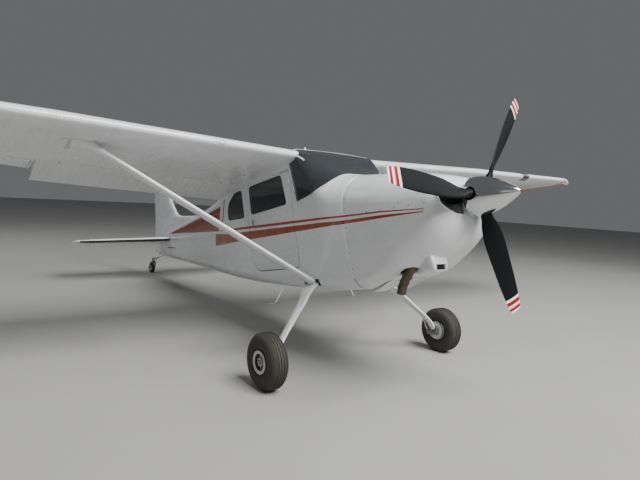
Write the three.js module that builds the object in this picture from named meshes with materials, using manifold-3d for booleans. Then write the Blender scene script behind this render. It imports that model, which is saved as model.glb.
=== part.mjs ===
// Light aircraft: a four-seat high-wing monoplane on a tailwheel undercarriage, parked on its three wheels.
// Millimetres, +X to the nose, +Y to the left wing, +Z up. The airframe is drawn level, with its zero
// at axle height a little ahead of the main axle line, and then pitched nose up on its tailwheel.
import * as THREE from 'three';
import { mergeVertices } from 'three/addons/utils/BufferGeometryUtils.js';
import Module from 'manifold-3d';

const wasm = await Module();
wasm.setup();

// Driving dimensions
const PARK_PITCH = THREE.MathUtils.degToRad(11.5);
const SEAT_GAP = 0.3;
const SKIN_GAP = 0.8;
const MOVING_GAP = 7;
const DOOR_GAP = 9;
const WALL = 34;
const GLASS = 8;
const GLASS_INSET = 4;
const FIREWALL_X = 300;

const MAIN_TRACK_HALF = 1170;
const MAIN_AXLE_BACK = 60;
const TYRE = { radius: 248, facets: 28 };
const TAIL_TYRE = { radius: 105, facets: 20 };
const AXLE_HEIGHT = TYRE.radius * Math.cos(Math.PI / TYRE.facets);
const TAIL_AXLE_HEIGHT = TAIL_TYRE.radius * Math.cos(Math.PI / TAIL_TYRE.facets);
const TAIL_AXLE_BACK = 6440;

const WING = {
  rootY: 566, breakY: 2710, tipY: 5290, capY: 5470,
  rootChord: 1626, tipChord: 1118, tipSweep: 100,
  leadX: -292, leadZ: 1941, rise: 0.0332,
  rootIncidence: 3.2, tipIncidence: -0.6, thickness: 0.12,
};
const FLAP = { inY: 600, outY: 2700, chord: 0.28, rest: 15 };
const AILERON = { inY: 2720, outY: 5180, chord: 0.24, down: 14 };
const PROP = { x: 1405, z: 1256, downThrust: 3.0, radius: 1044, spinnerRadius: 160, phase: 54.6 };
const SIDES = [{ name: 'left', sign: 1 }, { name: 'right', sign: -1 }];

// Materials
const finish = (color, roughness, metalness) => new THREE.MeshStandardMaterial({ color, roughness, metalness });
const whitePaint = () => finish(0xe9eaec, 0.3, 0.1);
const darkGlass = () => finish(0x20262c, 0.05, 0.0);
const rubber = () => finish(0x2a2725, 0.85, 0.0);
const steel = () => finish(0x8d8f92, 0.4, 0.9);
const alloy = () => finish(0xc9cbce, 0.3, 0.9);
const blackPaint = () => finish(0x18191b, 0.4, 0.1);
const trim = () => finish(0x3b3c40, 0.8, 0.0);
const upholstery = () => finish(0x6f6a66, 0.9, 0.0);

// Solids
function toSolid(geometry) {
  const bare = new THREE.BufferGeometry();
  bare.setAttribute('position', geometry.getAttribute('position').clone());
  if (geometry.index) bare.setIndex(geometry.index.clone());
  const merged = mergeVertices(bare, 1e-3);
  const vertProperties = new Float32Array(merged.getAttribute('position').array);
  const triVerts = new Uint32Array(merged.index.array);
  return new wasm.Manifold(new wasm.Mesh({ numProp: 3, vertProperties, triVerts }));
}

function toGeometry(solid) {
  const mesh = solid.getMesh();
  const geometry = new THREE.BufferGeometry();
  geometry.setAttribute('position', new THREE.BufferAttribute(new Float32Array(mesh.vertProperties), 3));
  geometry.setIndex(new THREE.BufferAttribute(new Uint32Array(mesh.triVerts), 1));
  geometry.computeVertexNormals();
  return geometry;
}

const combine = (method, base, others) => toGeometry(
  others.reduce((sum, other) => sum[method](toSolid(other)), toSolid(base)));
const cut = (base, ...others) => combine('subtract', base, others);
const join = (base, ...others) => combine('add', base, others);
const common = (base, ...others) => combine('intersect', base, others);

function signedVolume(points, faces) {
  let sum = 0;
  for (const [a, b, c] of faces) sum += points[a].dot(points[b].clone().cross(points[c]));
  return sum / 6;
}

function meshFrom(points, faces) {
  const outward = signedVolume(points, faces) > 0;
  const geometry = new THREE.BufferGeometry();
  geometry.setFromPoints(points);
  geometry.setIndex(faces.flatMap(([a, b, c]) => (outward ? [a, b, c] : [a, c, b])));
  geometry.computeVertexNormals();
  return geometry;
}

// A loft joins closed rings of equally many points; flatAxes names the two axes its end caps are seen in.
function loft(rings, flatAxes) {
  const count = rings[0].length;
  const points = rings.flat();
  const faces = [];
  for (let row = 0; row + 1 < rings.length; row += 1) {
    for (let i = 0; i < count; i += 1) {
      const a = row * count + i;
      const b = row * count + ((i + 1) % count);
      faces.push([a, b, b + count], [a, b + count, a + count]);
    }
  }
  const [u, v] = flatAxes;
  const cap = (ring) => {
    const flat = ring.map((p) => new THREE.Vector2(p[u], p[v]));
    const clockwise = THREE.ShapeUtils.isClockWise(flat);
    if (clockwise) flat.reverse();
    const last = count - 1;
    return THREE.ShapeUtils.triangulateShape(flat, []).map((face) => (
      clockwise ? face.map((i) => last - i).reverse() : face));
  };
  const first = cap(rings[0]);
  const final = cap(rings.at(-1)).map((face) => face.map((i) => i + count * (rings.length - 1)));
  const flip = (face) => [face[0], face[2], face[1]];
  const closed = (a, b) => faces.concat(first.map(a), final.map(b));
  const keep = (face) => face;
  const edges = (list) => {
    const seen = new Set();
    for (const [a, b, c] of list) {
      for (const key of [`${a},${b}`, `${b},${c}`, `${c},${a}`]) {
        if (seen.has(key)) return false;
        seen.add(key);
      }
    }
    return true;
  };
  const choice = [[flip, keep], [keep, flip], [keep, keep], [flip, flip]].map(([a, b]) => closed(a, b)).find(edges);
  if (!choice) throw new Error('loft does not close');
  return meshFrom(points, choice);
}

function box(x0, x1, y0, y1, z0, z1) {
  const geometry = new THREE.BoxGeometry(x1 - x0, y1 - y0, z1 - z0);
  return geometry.translate((x0 + x1) / 2, (y0 + y1) / 2, (z0 + z1) / 2);
}

function rod(from, to, radius, facets = 12, endRadius = radius) {
  const a = new THREE.Vector3(...from);
  const b = new THREE.Vector3(...to);
  const geometry = new THREE.CylinderGeometry(endRadius, radius, a.distanceTo(b), facets);
  const turn = new THREE.Quaternion().setFromUnitVectors(new THREE.Vector3(0, 1, 0), b.clone().sub(a).normalize());
  return geometry.applyQuaternion(turn).translate((a.x + b.x) / 2, (a.y + b.y) / 2, (a.z + b.z) / 2);
}

// An outline is a list of [x, z] corners, each with an optional rounding distance.
function roundedShape(corners) {
  const shape = new THREE.Shape();
  const points = corners.map(([x, z]) => new THREE.Vector2(x, z));
  corners.forEach(([, , round = 0], i) => {
    const here = points[i];
    const before = points.at(i - 1);
    const after = points[(i + 1) % points.length];
    const start = here.clone().add(before.clone().sub(here).setLength(round));
    const end = here.clone().add(after.clone().sub(here).setLength(round));
    if (i === 0) shape.moveTo(start.x, start.y);
    else shape.lineTo(start.x, start.y);
    if (round > 0) shape.quadraticCurveTo(here.x, here.y, end.x, end.y);
  });
  return shape;
}

// A prism through Y with the side-view outline in X and Z.
function sidePrism(corners, y0, y1, curveSegments = 5) {
  const geometry = new THREE.ExtrudeGeometry(roundedShape(corners), { depth: y1 - y0, bevelEnabled: false, curveSegments });
  return geometry.rotateX(Math.PI / 2).translate(0, y1, 0);
}

// A prism through Z with the plan outline in X and Y.
function planPrism(corners, z0, z1, curveSegments = 5) {
  const geometry = new THREE.ExtrudeGeometry(roundedShape(corners), { depth: z1 - z0, bevelEnabled: false, curveSegments });
  return geometry.translate(0, 0, z0);
}

function tube(path, radius, steps, facets = 8) {
  const circle = new THREE.Shape();
  circle.absarc(0, 0, radius, 0, Math.PI * 2);
  return new THREE.ExtrudeGeometry(circle, { steps, curveSegments: facets, bevelEnabled: false, extrudePath: path });
}

// A turned shape about the Y axis from [radius, y] pairs that close on themselves or on the axis.
function turned(profile, facets) {
  const points = profile.map(([radius, y]) => new THREE.Vector2(radius, y));
  return new THREE.LatheGeometry(points, facets);
}

function mirrored(geometry, sign) {
  if (sign > 0) return geometry;
  const bare = geometry.index ? geometry.clone() : mergeVertices(geometry);
  bare.scale(1, -1, 1);
  const index = Array.from(bare.index.array);
  for (let i = 0; i < index.length; i += 3) [index[i + 1], index[i + 2]] = [index[i + 2], index[i + 1]];
  bare.setIndex(index);
  bare.computeVertexNormals();
  return bare;
}

// Groups: the pitched airframe hangs at axle height over the ground.
const aircraft = new THREE.Group();
aircraft.name = 'light_aircraft';
const airframe = new THREE.Group();
airframe.rotation.y = -PARK_PITCH;
airframe.position.z = AXLE_HEIGHT;
aircraft.add(airframe);

function addPart(name, geometry, material, parent = airframe) {
  const mesh = new THREE.Mesh(geometry, material);
  mesh.name = name;
  parent.add(mesh);
  return mesh;
}

// Fuselage sections: a round-cornered box whose sides lean from the low to the high half width.
// columns: x, bottom, top, low half, high half, low radius, high radius, side bulge, roof crown
const CABIN_SECTIONS = [
  [300, 562, 1647, 433, 497, 166, 326, 12, 4],
  [120, 563, 1686, 448, 522, 150, 310, 10, 4],
  [-60, 567, 1784, 460, 546, 140, 250, 8, 6],
  [-200, 576, 1910, 465, 554, 134, 150, 6, 8],
  [-345, 586, 2028, 468, 556, 130, 84, 6, 10],
  [-520, 600, 2046, 472, 556, 130, 66, 6, 12],
  [-1350, 686, 2034, 470, 550, 130, 66, 6, 12],
  [-1900, 752, 1955, 440, 512, 130, 100, 8, 14],
  [-2300, 808, 1908, 400, 456, 132, 170, 10, 10],
];
const TAIL_SECTIONS = [
  [-2300.3, 808, 1908, 400, 456, 132, 170, 10, 10],
  [-3000, 914, 1862, 320, 360, 140, 200, 10, 4],
  [-4000, 1075, 1802, 225, 250, 120, 150, 8, 2],
  [-5000, 1238, 1748, 140, 155, 90, 100, 4, 0],
  [-5546, 1327, 1719, 90, 97, 60, 60, 0, 0],
];
const COWL_SECTIONS = [
  [1292, 985, 1378, 262, 300, 170, 190, 0, 0],
  [1264, 912, 1418, 330, 372, 200, 235, 0, 2],
  [1190, 836, 1462, 366, 420, 220, 280, 4, 3],
  [1000, 750, 1518, 388, 452, 220, 315, 10, 4],
  [700, 668, 1577, 408, 478, 165, 330, 14, 4],
  [300.3, 562, 1647, 433, 497, 166, 326, 12, 4],
];
const LOW_STEPS = 4;
const HIGH_STEPS = 5;
const FLAT_STEPS = 2;

function bodyRing(section, grow) {
  const [x, bottom, top, low, high, lowRadius, highRadius, bulge, crown] = section;
  const r1 = Math.max(lowRadius + grow, 12);
  const r2 = Math.max(highRadius + grow, 12);
  const half = [];
  const lowY = low + grow - r1;
  const lowZ = bottom - grow + r1;
  const highY = high + grow - r2;
  const highZ = top + grow - r2;
  for (let i = 0; i < FLAT_STEPS; i += 1) half.push([lowY * (i / FLAT_STEPS), bottom - grow]);
  for (let i = 0; i <= LOW_STEPS; i += 1) {
    const angle = (i / LOW_STEPS) * Math.PI / 2;
    half.push([lowY + r1 * Math.sin(angle), lowZ - r1 * Math.cos(angle)]);
  }
  for (let i = 1; i < 3; i += 1) {
    const t = i / 3;
    const y = THREE.MathUtils.lerp(low, high, t) + grow + bulge;
    half.push([y, THREE.MathUtils.lerp(lowZ, highZ, t)]);
  }
  for (let i = 0; i <= HIGH_STEPS; i += 1) {
    const angle = (i / HIGH_STEPS) * Math.PI / 2;
    half.push([highY + r2 * Math.cos(angle), highZ + r2 * Math.sin(angle)]);
  }
  for (let i = FLAT_STEPS - 1; i >= 0; i -= 1) {
    const t = i / FLAT_STEPS;
    half.push([highY * t, top + grow + crown * (1 - t * t)]);
  }
  const left = half.map(([y, z]) => new THREE.Vector3(x, y, z));
  const right = half.slice(1, -1).reverse().map(([y, z]) => new THREE.Vector3(x, -y, z));
  return left.concat(right);
}

const body = (sections, grow = 0) => loft(sections.map((section) => bodyRing(section, grow)), ['y', 'z']);

// Half width of the body's side at one height
function sideHalf(sections, x, z) {
  const behind = sections.findIndex((section) => section[0] <= x);
  const front = sections[behind - 1];
  const part = (x - front[0]) / (sections[behind][0] - front[0]);
  const section = front.map((value, i) => THREE.MathUtils.lerp(value, sections[behind][i], part));
  const ring = bodyRing(section, 0).filter((p) => p.y > section[3] / 2);
  const above = ring.findIndex((p) => p.z >= z);
  const low = ring[above - 1];
  const high = ring[above];
  return THREE.MathUtils.lerp(low.y, high.y, (z - low.z) / (high.z - low.z));
}

// The same sections with their first and last ones moved along x, so that a cutter runs past both ends.
function stretched(sections, before, after) {
  const copy = sections.map((section) => [...section]);
  copy[0][0] += before;
  copy.at(-1)[0] -= after;
  return copy;
}

// Openings in the cabin side, as outlines in x and z with corner rounding
const DOOR_OUTLINE = [[-455, 868, 40], [-455, 1836, 18], [-1352, 1836, 30], [-1352, 868, 210]];
const DOOR_WINDOW = [[-560, 1500, 45], [-612, 1806, 45], [-1300, 1806, 50], [-1300, 1490, 50]];
const REAR_WINDOW = [[-1490, 1490, 50], [-1490, 1800, 60], [-1700, 1806, 120], [-1900, 1680, 105], [-1900, 1500, 60]];
const WINDSCREEN = [[112, 1900], [112, 1660, 30], [66, 1588, 35], [-40, 1526, 50], [-150, 1502, 50], [-372, 1482, 20],
  [-440, 1930, 10], [-356, 2052], [-330, 2140], [112, 2140]];
const SIDE_CUT = { inner: 300, outer: 700 };

function insetOutline(corners, gap) {
  const centre = new THREE.Vector2();
  corners.forEach(([x, z]) => centre.add(new THREE.Vector2(x, z)));
  centre.divideScalar(corners.length);
  const count = corners.length;
  return corners.map(([x, z, round], i) => {
    const here = new THREE.Vector2(x, z);
    const before = new THREE.Vector2(...corners[(i + count - 1) % count]);
    const after = new THREE.Vector2(...corners[(i + 1) % count]);
    const d1 = here.clone().sub(before).normalize();
    const d2 = after.clone().sub(here).normalize();
    const inward = (d) => {
      const n = new THREE.Vector2(-d.y, d.x);
      return n.dot(centre.clone().sub(here)) > 0 ? n : n.negate();
    };
    const n1 = inward(d1);
    const n2 = inward(d2);
    const corner = n1.clone().add(n2).multiplyScalar(gap / (1 + n1.dot(n2)));
    return [x + corner.x, z + corner.y, round];
  });
}

// Cabin shell, doors and glass all come from one outer and one inner body.
const cabinOuter = body(CABIN_SECTIONS);
const cabinWall = cut(cabinOuter, body(stretched(CABIN_SECTIONS, 10, 10), -WALL));
const glassSkin = cut(body(CABIN_SECTIONS, -GLASS_INSET), body(stretched(CABIN_SECTIONS, 10, 10), -GLASS_INSET - GLASS));
const windscreenPrism = (gap) => sidePrism(insetOutline(WINDSCREEN, gap), -700, 700);

// A door hinge stands just outside the skin: an arm and pin on the shell, two knuckles on the door.
const DOOR_HINGE = { x: -458.5, low: 1000, high: 1720, proud: 12, pin: 4, bore: 4.6, knuckle: 8, arm: 5, half: 26, inner: 7.5 };
const doorHingeAt = (z, proud) => new THREE.Vector3(DOOR_HINGE.x, sideHalf(CABIN_SECTIONS, DOOR_HINGE.x, z) + proud, z);
const doorHingeAxis = doorHingeAt(DOOR_HINGE.high, 0).sub(doorHingeAt(DOOR_HINGE.low, 0)).normalize();
const doorHinges = [DOOR_HINGE.low, DOOR_HINGE.high].map((z) => {
  const along = (length) => doorHingeAt(z, DOOR_HINGE.proud).addScaledVector(doorHingeAxis, length);
  const root = (dx, length) => along(length).add(new THREE.Vector3(dx, -DOOR_HINGE.proud - 8, 0));
  const rodBetween = (a, b, radius) => rod(a.toArray(), b.toArray(), radius, 8);
  const knuckles = [-1, 1].flatMap((s) => {
    const middle = s * (DOOR_HINGE.inner + DOOR_HINGE.half) / 2;
    return [rodBetween(along(s * DOOR_HINGE.inner), along(s * DOOR_HINGE.half), DOOR_HINGE.knuckle),
      rodBetween(root(-24, middle), along(middle), DOOR_HINGE.arm)];
  });
  return {
    shell: [rodBetween(root(22, 0), along(0), DOOR_HINGE.arm), rodBetween(along(-DOOR_HINGE.half), along(DOOR_HINGE.half), DOOR_HINGE.pin)],
    door: knuckles,
    bore: rodBetween(along(-DOOR_HINGE.half - 2), along(DOOR_HINGE.half + 2), DOOR_HINGE.bore),
  };
});

const sideOpenings = (corners) => SIDES.map(({ sign }) => mirrored(sidePrism(corners, SIDE_CUT.inner, SIDE_CUT.outer), sign));
const shellBody = cut(cabinWall, windscreenPrism(0), ...sideOpenings(DOOR_OUTLINE), ...sideOpenings(REAR_WINDOW));
const shellHinges = SIDES.flatMap(({ sign }) => doorHinges.flatMap((hinge) => hinge.shell).map((piece) => mirrored(piece, sign)));
addPart('cabin_shell', join(shellBody, ...shellHinges), whitePaint());
addPart('windscreen', common(glassSkin, windscreenPrism(SEAT_GAP)), darkGlass());

for (const { name, sign } of SIDES) {
  const through = (corners) => sidePrism(corners, SIDE_CUT.inner, SIDE_CUT.outer);
  const panel = cut(common(cabinWall, through(insetOutline(DOOR_OUTLINE, DOOR_GAP))), through(DOOR_WINDOW));
  const door = cut(join(panel, ...doorHinges.flatMap((hinge) => hinge.door)), ...doorHinges.map((hinge) => hinge.bore));
  addPart(`cabin_door_${name}`, mirrored(door, sign), whitePaint());
  addPart(`door_window_${name}`, mirrored(common(glassSkin, through(insetOutline(DOOR_WINDOW, SEAT_GAP))), sign), darkGlass());
  addPart(`rear_window_${name}`, mirrored(common(glassSkin, through(insetOutline(REAR_WINDOW, SEAT_GAP))), sign), darkGlass());
}

// Firewall, engine on its mount, and the two halves of the cowling
const COWL_WALL = 16;
const COWL_SPLIT = { frontX: 1330, frontZ: 1232, backX: 290, backZ: 1318 };
const INLET = { inner: 150, outer: 356, bottom: 1110, top: 1316, round: 60 };
const ENGINE = { x0: 470, x1: 1150, half: 310, bottom: 1000, top: 1330 };
const MOUNT_TUBE = { radius: 14, inset: 230, low: 960, high: 1380 };
const COWL_FLAP = { frontX: 640, backX: 312, inY: 50, outY: 240, rest: 6, hingeX: 624, hingeZ: 653, pin: 3.2, bore: 3.8, grip: 34 };

const cowlOuter = body(COWL_SECTIONS);
const cowlInner = body(stretched(COWL_SECTIONS, -COWL_WALL, 10), -COWL_WALL);
const cowlWall = cut(cowlOuter, cowlInner);
function cowlHalf(upper) {
  const { frontX, frontZ, backX, backZ } = COWL_SPLIT;
  const far = upper ? 3000 : 0;
  const lift = upper ? SEAT_GAP / 2 : -SEAT_GAP / 2;
  const outline = [[frontX + 60, frontZ + lift], [backX - 20, backZ + lift], [backX - 20, far], [frontX + 60, far]];
  return sidePrism(outline, -800, 800);
}
function inletHole(sign) {
  const shape = roundedShape([[INLET.inner, INLET.bottom, INLET.round], [INLET.outer, INLET.bottom + 40, INLET.round],
    [INLET.outer, INLET.top - 20, INLET.round], [INLET.inner, INLET.top, INLET.round]]);
  const hole = new THREE.ExtrudeGeometry(shape, { depth: 200, bevelEnabled: false, curveSegments: 4 });
  hole.rotateX(Math.PI / 2).rotateZ(Math.PI / 2).translate(1160, 0, 0);
  return mirrored(hole, sign);
}
const onThrustLine = (x) => [x, 0, PROP.z + (PROP.x - x) * Math.tan(THREE.MathUtils.degToRad(PROP.downThrust))];
const spinnerHole = rod(onThrustLine(1200), onThrustLine(1400), 74, 20);
const frontHoles = [...SIDES.map(({ sign }) => inletHole(sign)), spinnerHole];
const flapBay = (sign, gap) => {
  const { frontX, backX, inY, outY } = COWL_FLAP;
  return mirrored(box(backX - 40 + gap * 6, frontX - gap, inY + gap, outY - gap, 400, 800), sign);
};
addPart('upper_cowl', cut(common(cowlWall, cowlHalf(true)), ...frontHoles), whitePaint());
const lowerCowl = cut(common(cowlWall, cowlHalf(false)), ...frontHoles, ...SIDES.map(({ sign }) => flapBay(sign, 0)));
// Cowl flaps turn on short pins that stand in from both sides of their bay.
const flapPins = (radius, past, grip) => SIDES.flatMap(({ sign }) => [[COWL_FLAP.inY - past, COWL_FLAP.inY + grip],
  [COWL_FLAP.outY - grip, COWL_FLAP.outY + past]].map(([y0, y1]) => rod(
  [COWL_FLAP.hingeX, sign * y0, COWL_FLAP.hingeZ], [COWL_FLAP.hingeX, sign * y1, COWL_FLAP.hingeZ], radius, 8)));
addPart('lower_cowl', join(lowerCowl, ...flapPins(COWL_FLAP.pin, 6, COWL_FLAP.grip)), whitePaint());

const firewallSections = [FIREWALL_X - 8, FIREWALL_X + 0.7].map((x) => {
  const section = [...CABIN_SECTIONS[0]];
  section[0] = x - SEAT_GAP;
  return section;
});
addPart('firewall', body(firewallSections, -WALL - 2 * SEAT_GAP), steel());

const mountTubes = [-1, 1].flatMap((s) => [[MOUNT_TUBE.low, ENGINE.bottom + 60], [MOUNT_TUBE.high, ENGINE.top - 60]]
  .map(([z0, z1]) => rod([FIREWALL_X - 10, s * MOUNT_TUBE.inset, z0], [ENGINE.x0 + 40, s * MOUNT_TUBE.inset, z1], MOUNT_TUBE.radius)));
const PROP_SHAFT = { radius: 40, bore: 40.5 };
const crankshaft = rod(onThrustLine(ENGINE.x1 - 10), onThrustLine(PROP.x - 20), PROP_SHAFT.radius, 20);
const engineBlock = box(ENGINE.x0, ENGINE.x1, -ENGINE.half, ENGINE.half, ENGINE.bottom, ENGINE.top);
const behindFirewall = box(FIREWALL_X - 60, FIREWALL_X + 0.7, -400, 400, 800, 1600);
addPart('engine', cut(join(engineBlock, crankshaft, ...mountTubes), behindFirewall), steel());

// Cowl flaps hang open at rest.
const flapShell = cut(common(cowlWall, box(COWL_FLAP.backX + 6, COWL_FLAP.frontX - MOVING_GAP,
  COWL_FLAP.inY + MOVING_GAP, COWL_FLAP.outY - MOVING_GAP, 400, 800)), ...flapPins(COWL_FLAP.bore, -1, COWL_FLAP.grip + 1));

function rotateAbout(geometry, point, axis, degrees) {
  const turn = new THREE.Matrix4().makeRotationAxis(new THREE.Vector3(...axis).normalize(), THREE.MathUtils.degToRad(degrees));
  return geometry.clone().translate(...point.map((v) => -v)).applyMatrix4(turn).translate(...point);
}

// Tail cone, solid, with the bays for the stabiliser spar and the elevator torque tube
const TAIL = { hingeX: -5500, z: 1575, sparX: -5395, rudderX: -5585, noseRadius: 27, coveGap: 6 };
const tailConeGrown = (grow) => body(stretched(TAIL_SECTIONS, grow, grow), grow);
const SPAR = { radius: 22, bore: 22.6, half: 300 };
const sparTube = (radius) => rod([TAIL.sparX, -SPAR.half, TAIL.z], [TAIL.sparX, SPAR.half, TAIL.z], radius, 16);
const tubeBay = box(TAIL.hingeX - 22, TAIL.hingeX + 22, -SPAR.half, SPAR.half, TAIL.z - 22, TAIL.z + 36);

// Fin and rudder: columns z, leading x, trailing x, thickness
const FIN_ROWS = [
  [1700, -3560, -5585, 84], [1840, -3760, -5585, 84], [1905, -4250, -5585, 82], [1972, -4700, -5585, 80],
  [2030, -4850, -5585, 78], [2130, -4950, -5585, 74], [2330, -5120, -5585, 68], [2790, -5400, -5585, 58],
];
const RUDDER_ROWS = [
  [1352, -5640, 40], [1392, -5890, 46], [1470, -6060, 52], [1590, -6130, 54], [1760, -6060, 54],
  [2100, -6010, 54], [2500, -5996, 54], [2690, -5930, 54], [2798, -5850, 54],
];
const HORN = { rows: [[2798, -5420, -5850, 50], [2880, -5450, -5780, 44], [2930, -5520, -5680, 30]] };
const FOIL_STEPS = [0, 0.02, 0.08, 0.2, 0.4, 0.7, 1];

function foilHeight(t, thickness) {
  const root = Math.sqrt(t);
  return 5 * thickness * (0.2969 * root - 0.126 * t - 0.3516 * t * t + 0.2843 * t ** 3 - 0.1036 * t ** 4);
}

// A level ring of a symmetric section: full nose, then straight to its trailing thickness.
function levelRing([z, lead, trail, thickness], trailHalf) {
  const half = FOIL_STEPS.map((t) => {
    const bulge = t < 0.3 ? foilHeight(t, 1) * thickness : foilHeight(0.3, 1) * thickness;
    const blend = t < 0.3 ? bulge : THREE.MathUtils.lerp(bulge, trailHalf, (t - 0.3) / 0.7);
    return [THREE.MathUtils.lerp(lead, trail, t), blend];
  });
  const left = half.map(([x, y]) => new THREE.Vector3(x, y, z));
  const right = half.slice(1).reverse().map(([x, y]) => new THREE.Vector3(x, -y, z));
  return left.concat(right);
}

const finLoft = loft(FIN_ROWS.map((row) => levelRing(row, TAIL.noseRadius)), ['x', 'y']);
const rudderCove = rod([TAIL.rudderX, 0, 1200], [TAIL.rudderX, 0, 3100], TAIL.noseRadius + TAIL.coveGap, 20);

// A wedge runs from a round nose on its hinge line back to a thin trailing edge.
function wedgeRing(place, trailLength, noseRadius, edge = 3) {
  const ring = [[-trailLength, edge], [-noseRadius * 0.35, noseRadius * 0.96]];
  for (let i = 0; i <= 6; i += 1) {
    const angle = Math.PI / 2 - (i / 6) * Math.PI;
    ring.push([noseRadius * Math.cos(angle), noseRadius * Math.sin(angle)]);
  }
  ring.push([-noseRadius * 0.35, -noseRadius * 0.96], [-trailLength, -edge]);
  return ring.map(place);
}
const rudderBody = loft(RUDDER_ROWS.map(([z, trail]) => (
  wedgeRing(([dx, dy]) => new THREE.Vector3(TAIL.rudderX + dx, dy, z), TAIL.rudderX - trail, TAIL.noseRadius))), ['x', 'y']);
const hornBody = loft(HORN.rows.map((row) => levelRing(row, 4)), ['x', 'y']);

// Hinges: the carrier has an arm and a pin, the moving piece a slot for the arm and a bore for the pin.
const HINGE = { arm: 7, pin: 4.5, bore: 5.2, pinHalf: 30, slotHalf: 13 };
function hingeParts(point, along, armFrom, slot) {
  const axis = new THREE.Vector3(...along).normalize();
  const end = (length) => new THREE.Vector3(...point).addScaledVector(axis, length).toArray();
  const arm = rod(armFrom, point, HINGE.arm, 6);
  const pin = rod(end(-HINGE.pinHalf), end(HINGE.pinHalf), HINGE.pin, 8);
  const bore = rod(end(-HINGE.pinHalf - 1), end(HINGE.pinHalf + 1), HINGE.bore, 8);
  return { fixed: [arm, pin], clear: [bore, slot] };
}

const RUDDER_HINGES = [1480, 2080, 2640];
const rudderHinges = RUDDER_HINGES.map((z) => hingeParts([TAIL.rudderX, 0, z], [0, 0, 1], [TAIL.rudderX + 75, 0, z],
  box(TAIL.rudderX - 14, TAIL.rudderX + 60, -60, 60, z - HINGE.slotHalf, z + HINGE.slotHalf)));
const [coneHinge, ...finHinges] = rudderHinges;
addPart('tail_cone', join(cut(tailConeGrown(0), sparTube(SPAR.bore), tubeBay), ...coneHinge.fixed), whitePaint());
const finShape = cut(finLoft, rudderCove, tailConeGrown(SKIN_GAP), box(-6000, -5000, -90, 90, 2791, 3200));
addPart('fin', join(finShape, ...finHinges.flatMap((h) => h.fixed)), whitePaint());
addPart('rudder', cut(join(rudderBody, hornBody), ...rudderHinges.flatMap((h) => h.clear)), whitePaint());

// Stabiliser and elevator: columns y, leading x, thickness
const STAB_ROWS = [[60, -4790, 96], [1420, -5150, 70]];
const ELEVATOR_ROWS = [[118, -5930], [1420, -5860]];
const STAB_TIP = { y: 1420, hornY: 1427, capY: 1651, lead: -5150, trail: -5860 };
const TAIL_ROOT_GAP = 9;
function sideRing(y, lead, trail, thickness, trailHalf) {
  const half = FOIL_STEPS.map((t) => {
    const peak = foilHeight(0.3, 1) * thickness;
    const height = t < 0.3 ? foilHeight(t, 1) * thickness : THREE.MathUtils.lerp(peak, trailHalf, (t - 0.3) / 0.7);
    return [THREE.MathUtils.lerp(lead, trail, t), height];
  });
  const top = half.map(([x, z]) => new THREE.Vector3(x, y, TAIL.z + z));
  const low = half.slice(1).reverse().map(([x, z]) => new THREE.Vector3(x, y, TAIL.z - z));
  return top.concat(low);
}
const stabHalf = loft(STAB_ROWS.map(([y, lead, thickness]) => (
  sideRing(y, lead, TAIL.hingeX, thickness, TAIL.noseRadius))), ['x', 'z']);
const elevatorCove = rod([TAIL.hingeX, 0, TAIL.z], [TAIL.hingeX, 1700, TAIL.z], TAIL.noseRadius + TAIL.coveGap, 20);
const stabLeft = cut(stabHalf, elevatorCove, tailConeGrown(TAIL_ROOT_GAP));
const ELEVATOR_HINGES = [400, 1200];
const elevatorHinges = SIDES.flatMap(({ sign }) => ELEVATOR_HINGES.map((y) => hingeParts(
  [TAIL.hingeX, sign * y, TAIL.z], [0, 1, 0], [TAIL.hingeX + 75, sign * y, TAIL.z],
  box(TAIL.hingeX - 14, TAIL.hingeX + 60, sign * y - HINGE.slotHalf, sign * y + HINGE.slotHalf, TAIL.z - 60, TAIL.z + 60))));
const elevatorHalf = loft(ELEVATOR_ROWS.map(([y, trail]) => (
  wedgeRing(([dx, dz]) => new THREE.Vector3(TAIL.hingeX + dx, y, TAIL.z + dz), TAIL.hingeX - trail, TAIL.noseRadius))), ['x', 'z']);
const elevatorHorn = loft([
  sideRing(STAB_TIP.hornY, STAB_TIP.lead, STAB_TIP.trail, 68, 3),
  sideRing(1570, -5180, -5840, 60, 3),
  sideRing(1630, -5260, -5780, 40, 3),
  sideRing(STAB_TIP.capY, -5380, -5700, 16, 3),
], ['x', 'z']);
const rudderRoom = planPrism([[-5300, -10], [-5300, 132], [-5535, 132], [-6100, 320], [-6100, -10]], 1000, 2000);
const elevatorLeft = cut(join(elevatorHalf, elevatorHorn,
  rod([TAIL.hingeX, 1380, TAIL.z], [TAIL.hingeX, 1450, TAIL.z], 20, 12)), rudderRoom);
const torqueTube = rod([TAIL.hingeX, -180, TAIL.z], [TAIL.hingeX, 180, TAIL.z], 13, 12);
addPart('stabiliser', join(stabLeft, mirrored(stabLeft, -1), sparTube(SPAR.radius), ...elevatorHinges.flatMap((h) => h.fixed)), whitePaint());
addPart('elevator', cut(join(elevatorLeft, mirrored(elevatorLeft, -1), torqueTube), ...elevatorHinges.flatMap((h) => h.clear)),
  whitePaint());

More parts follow.
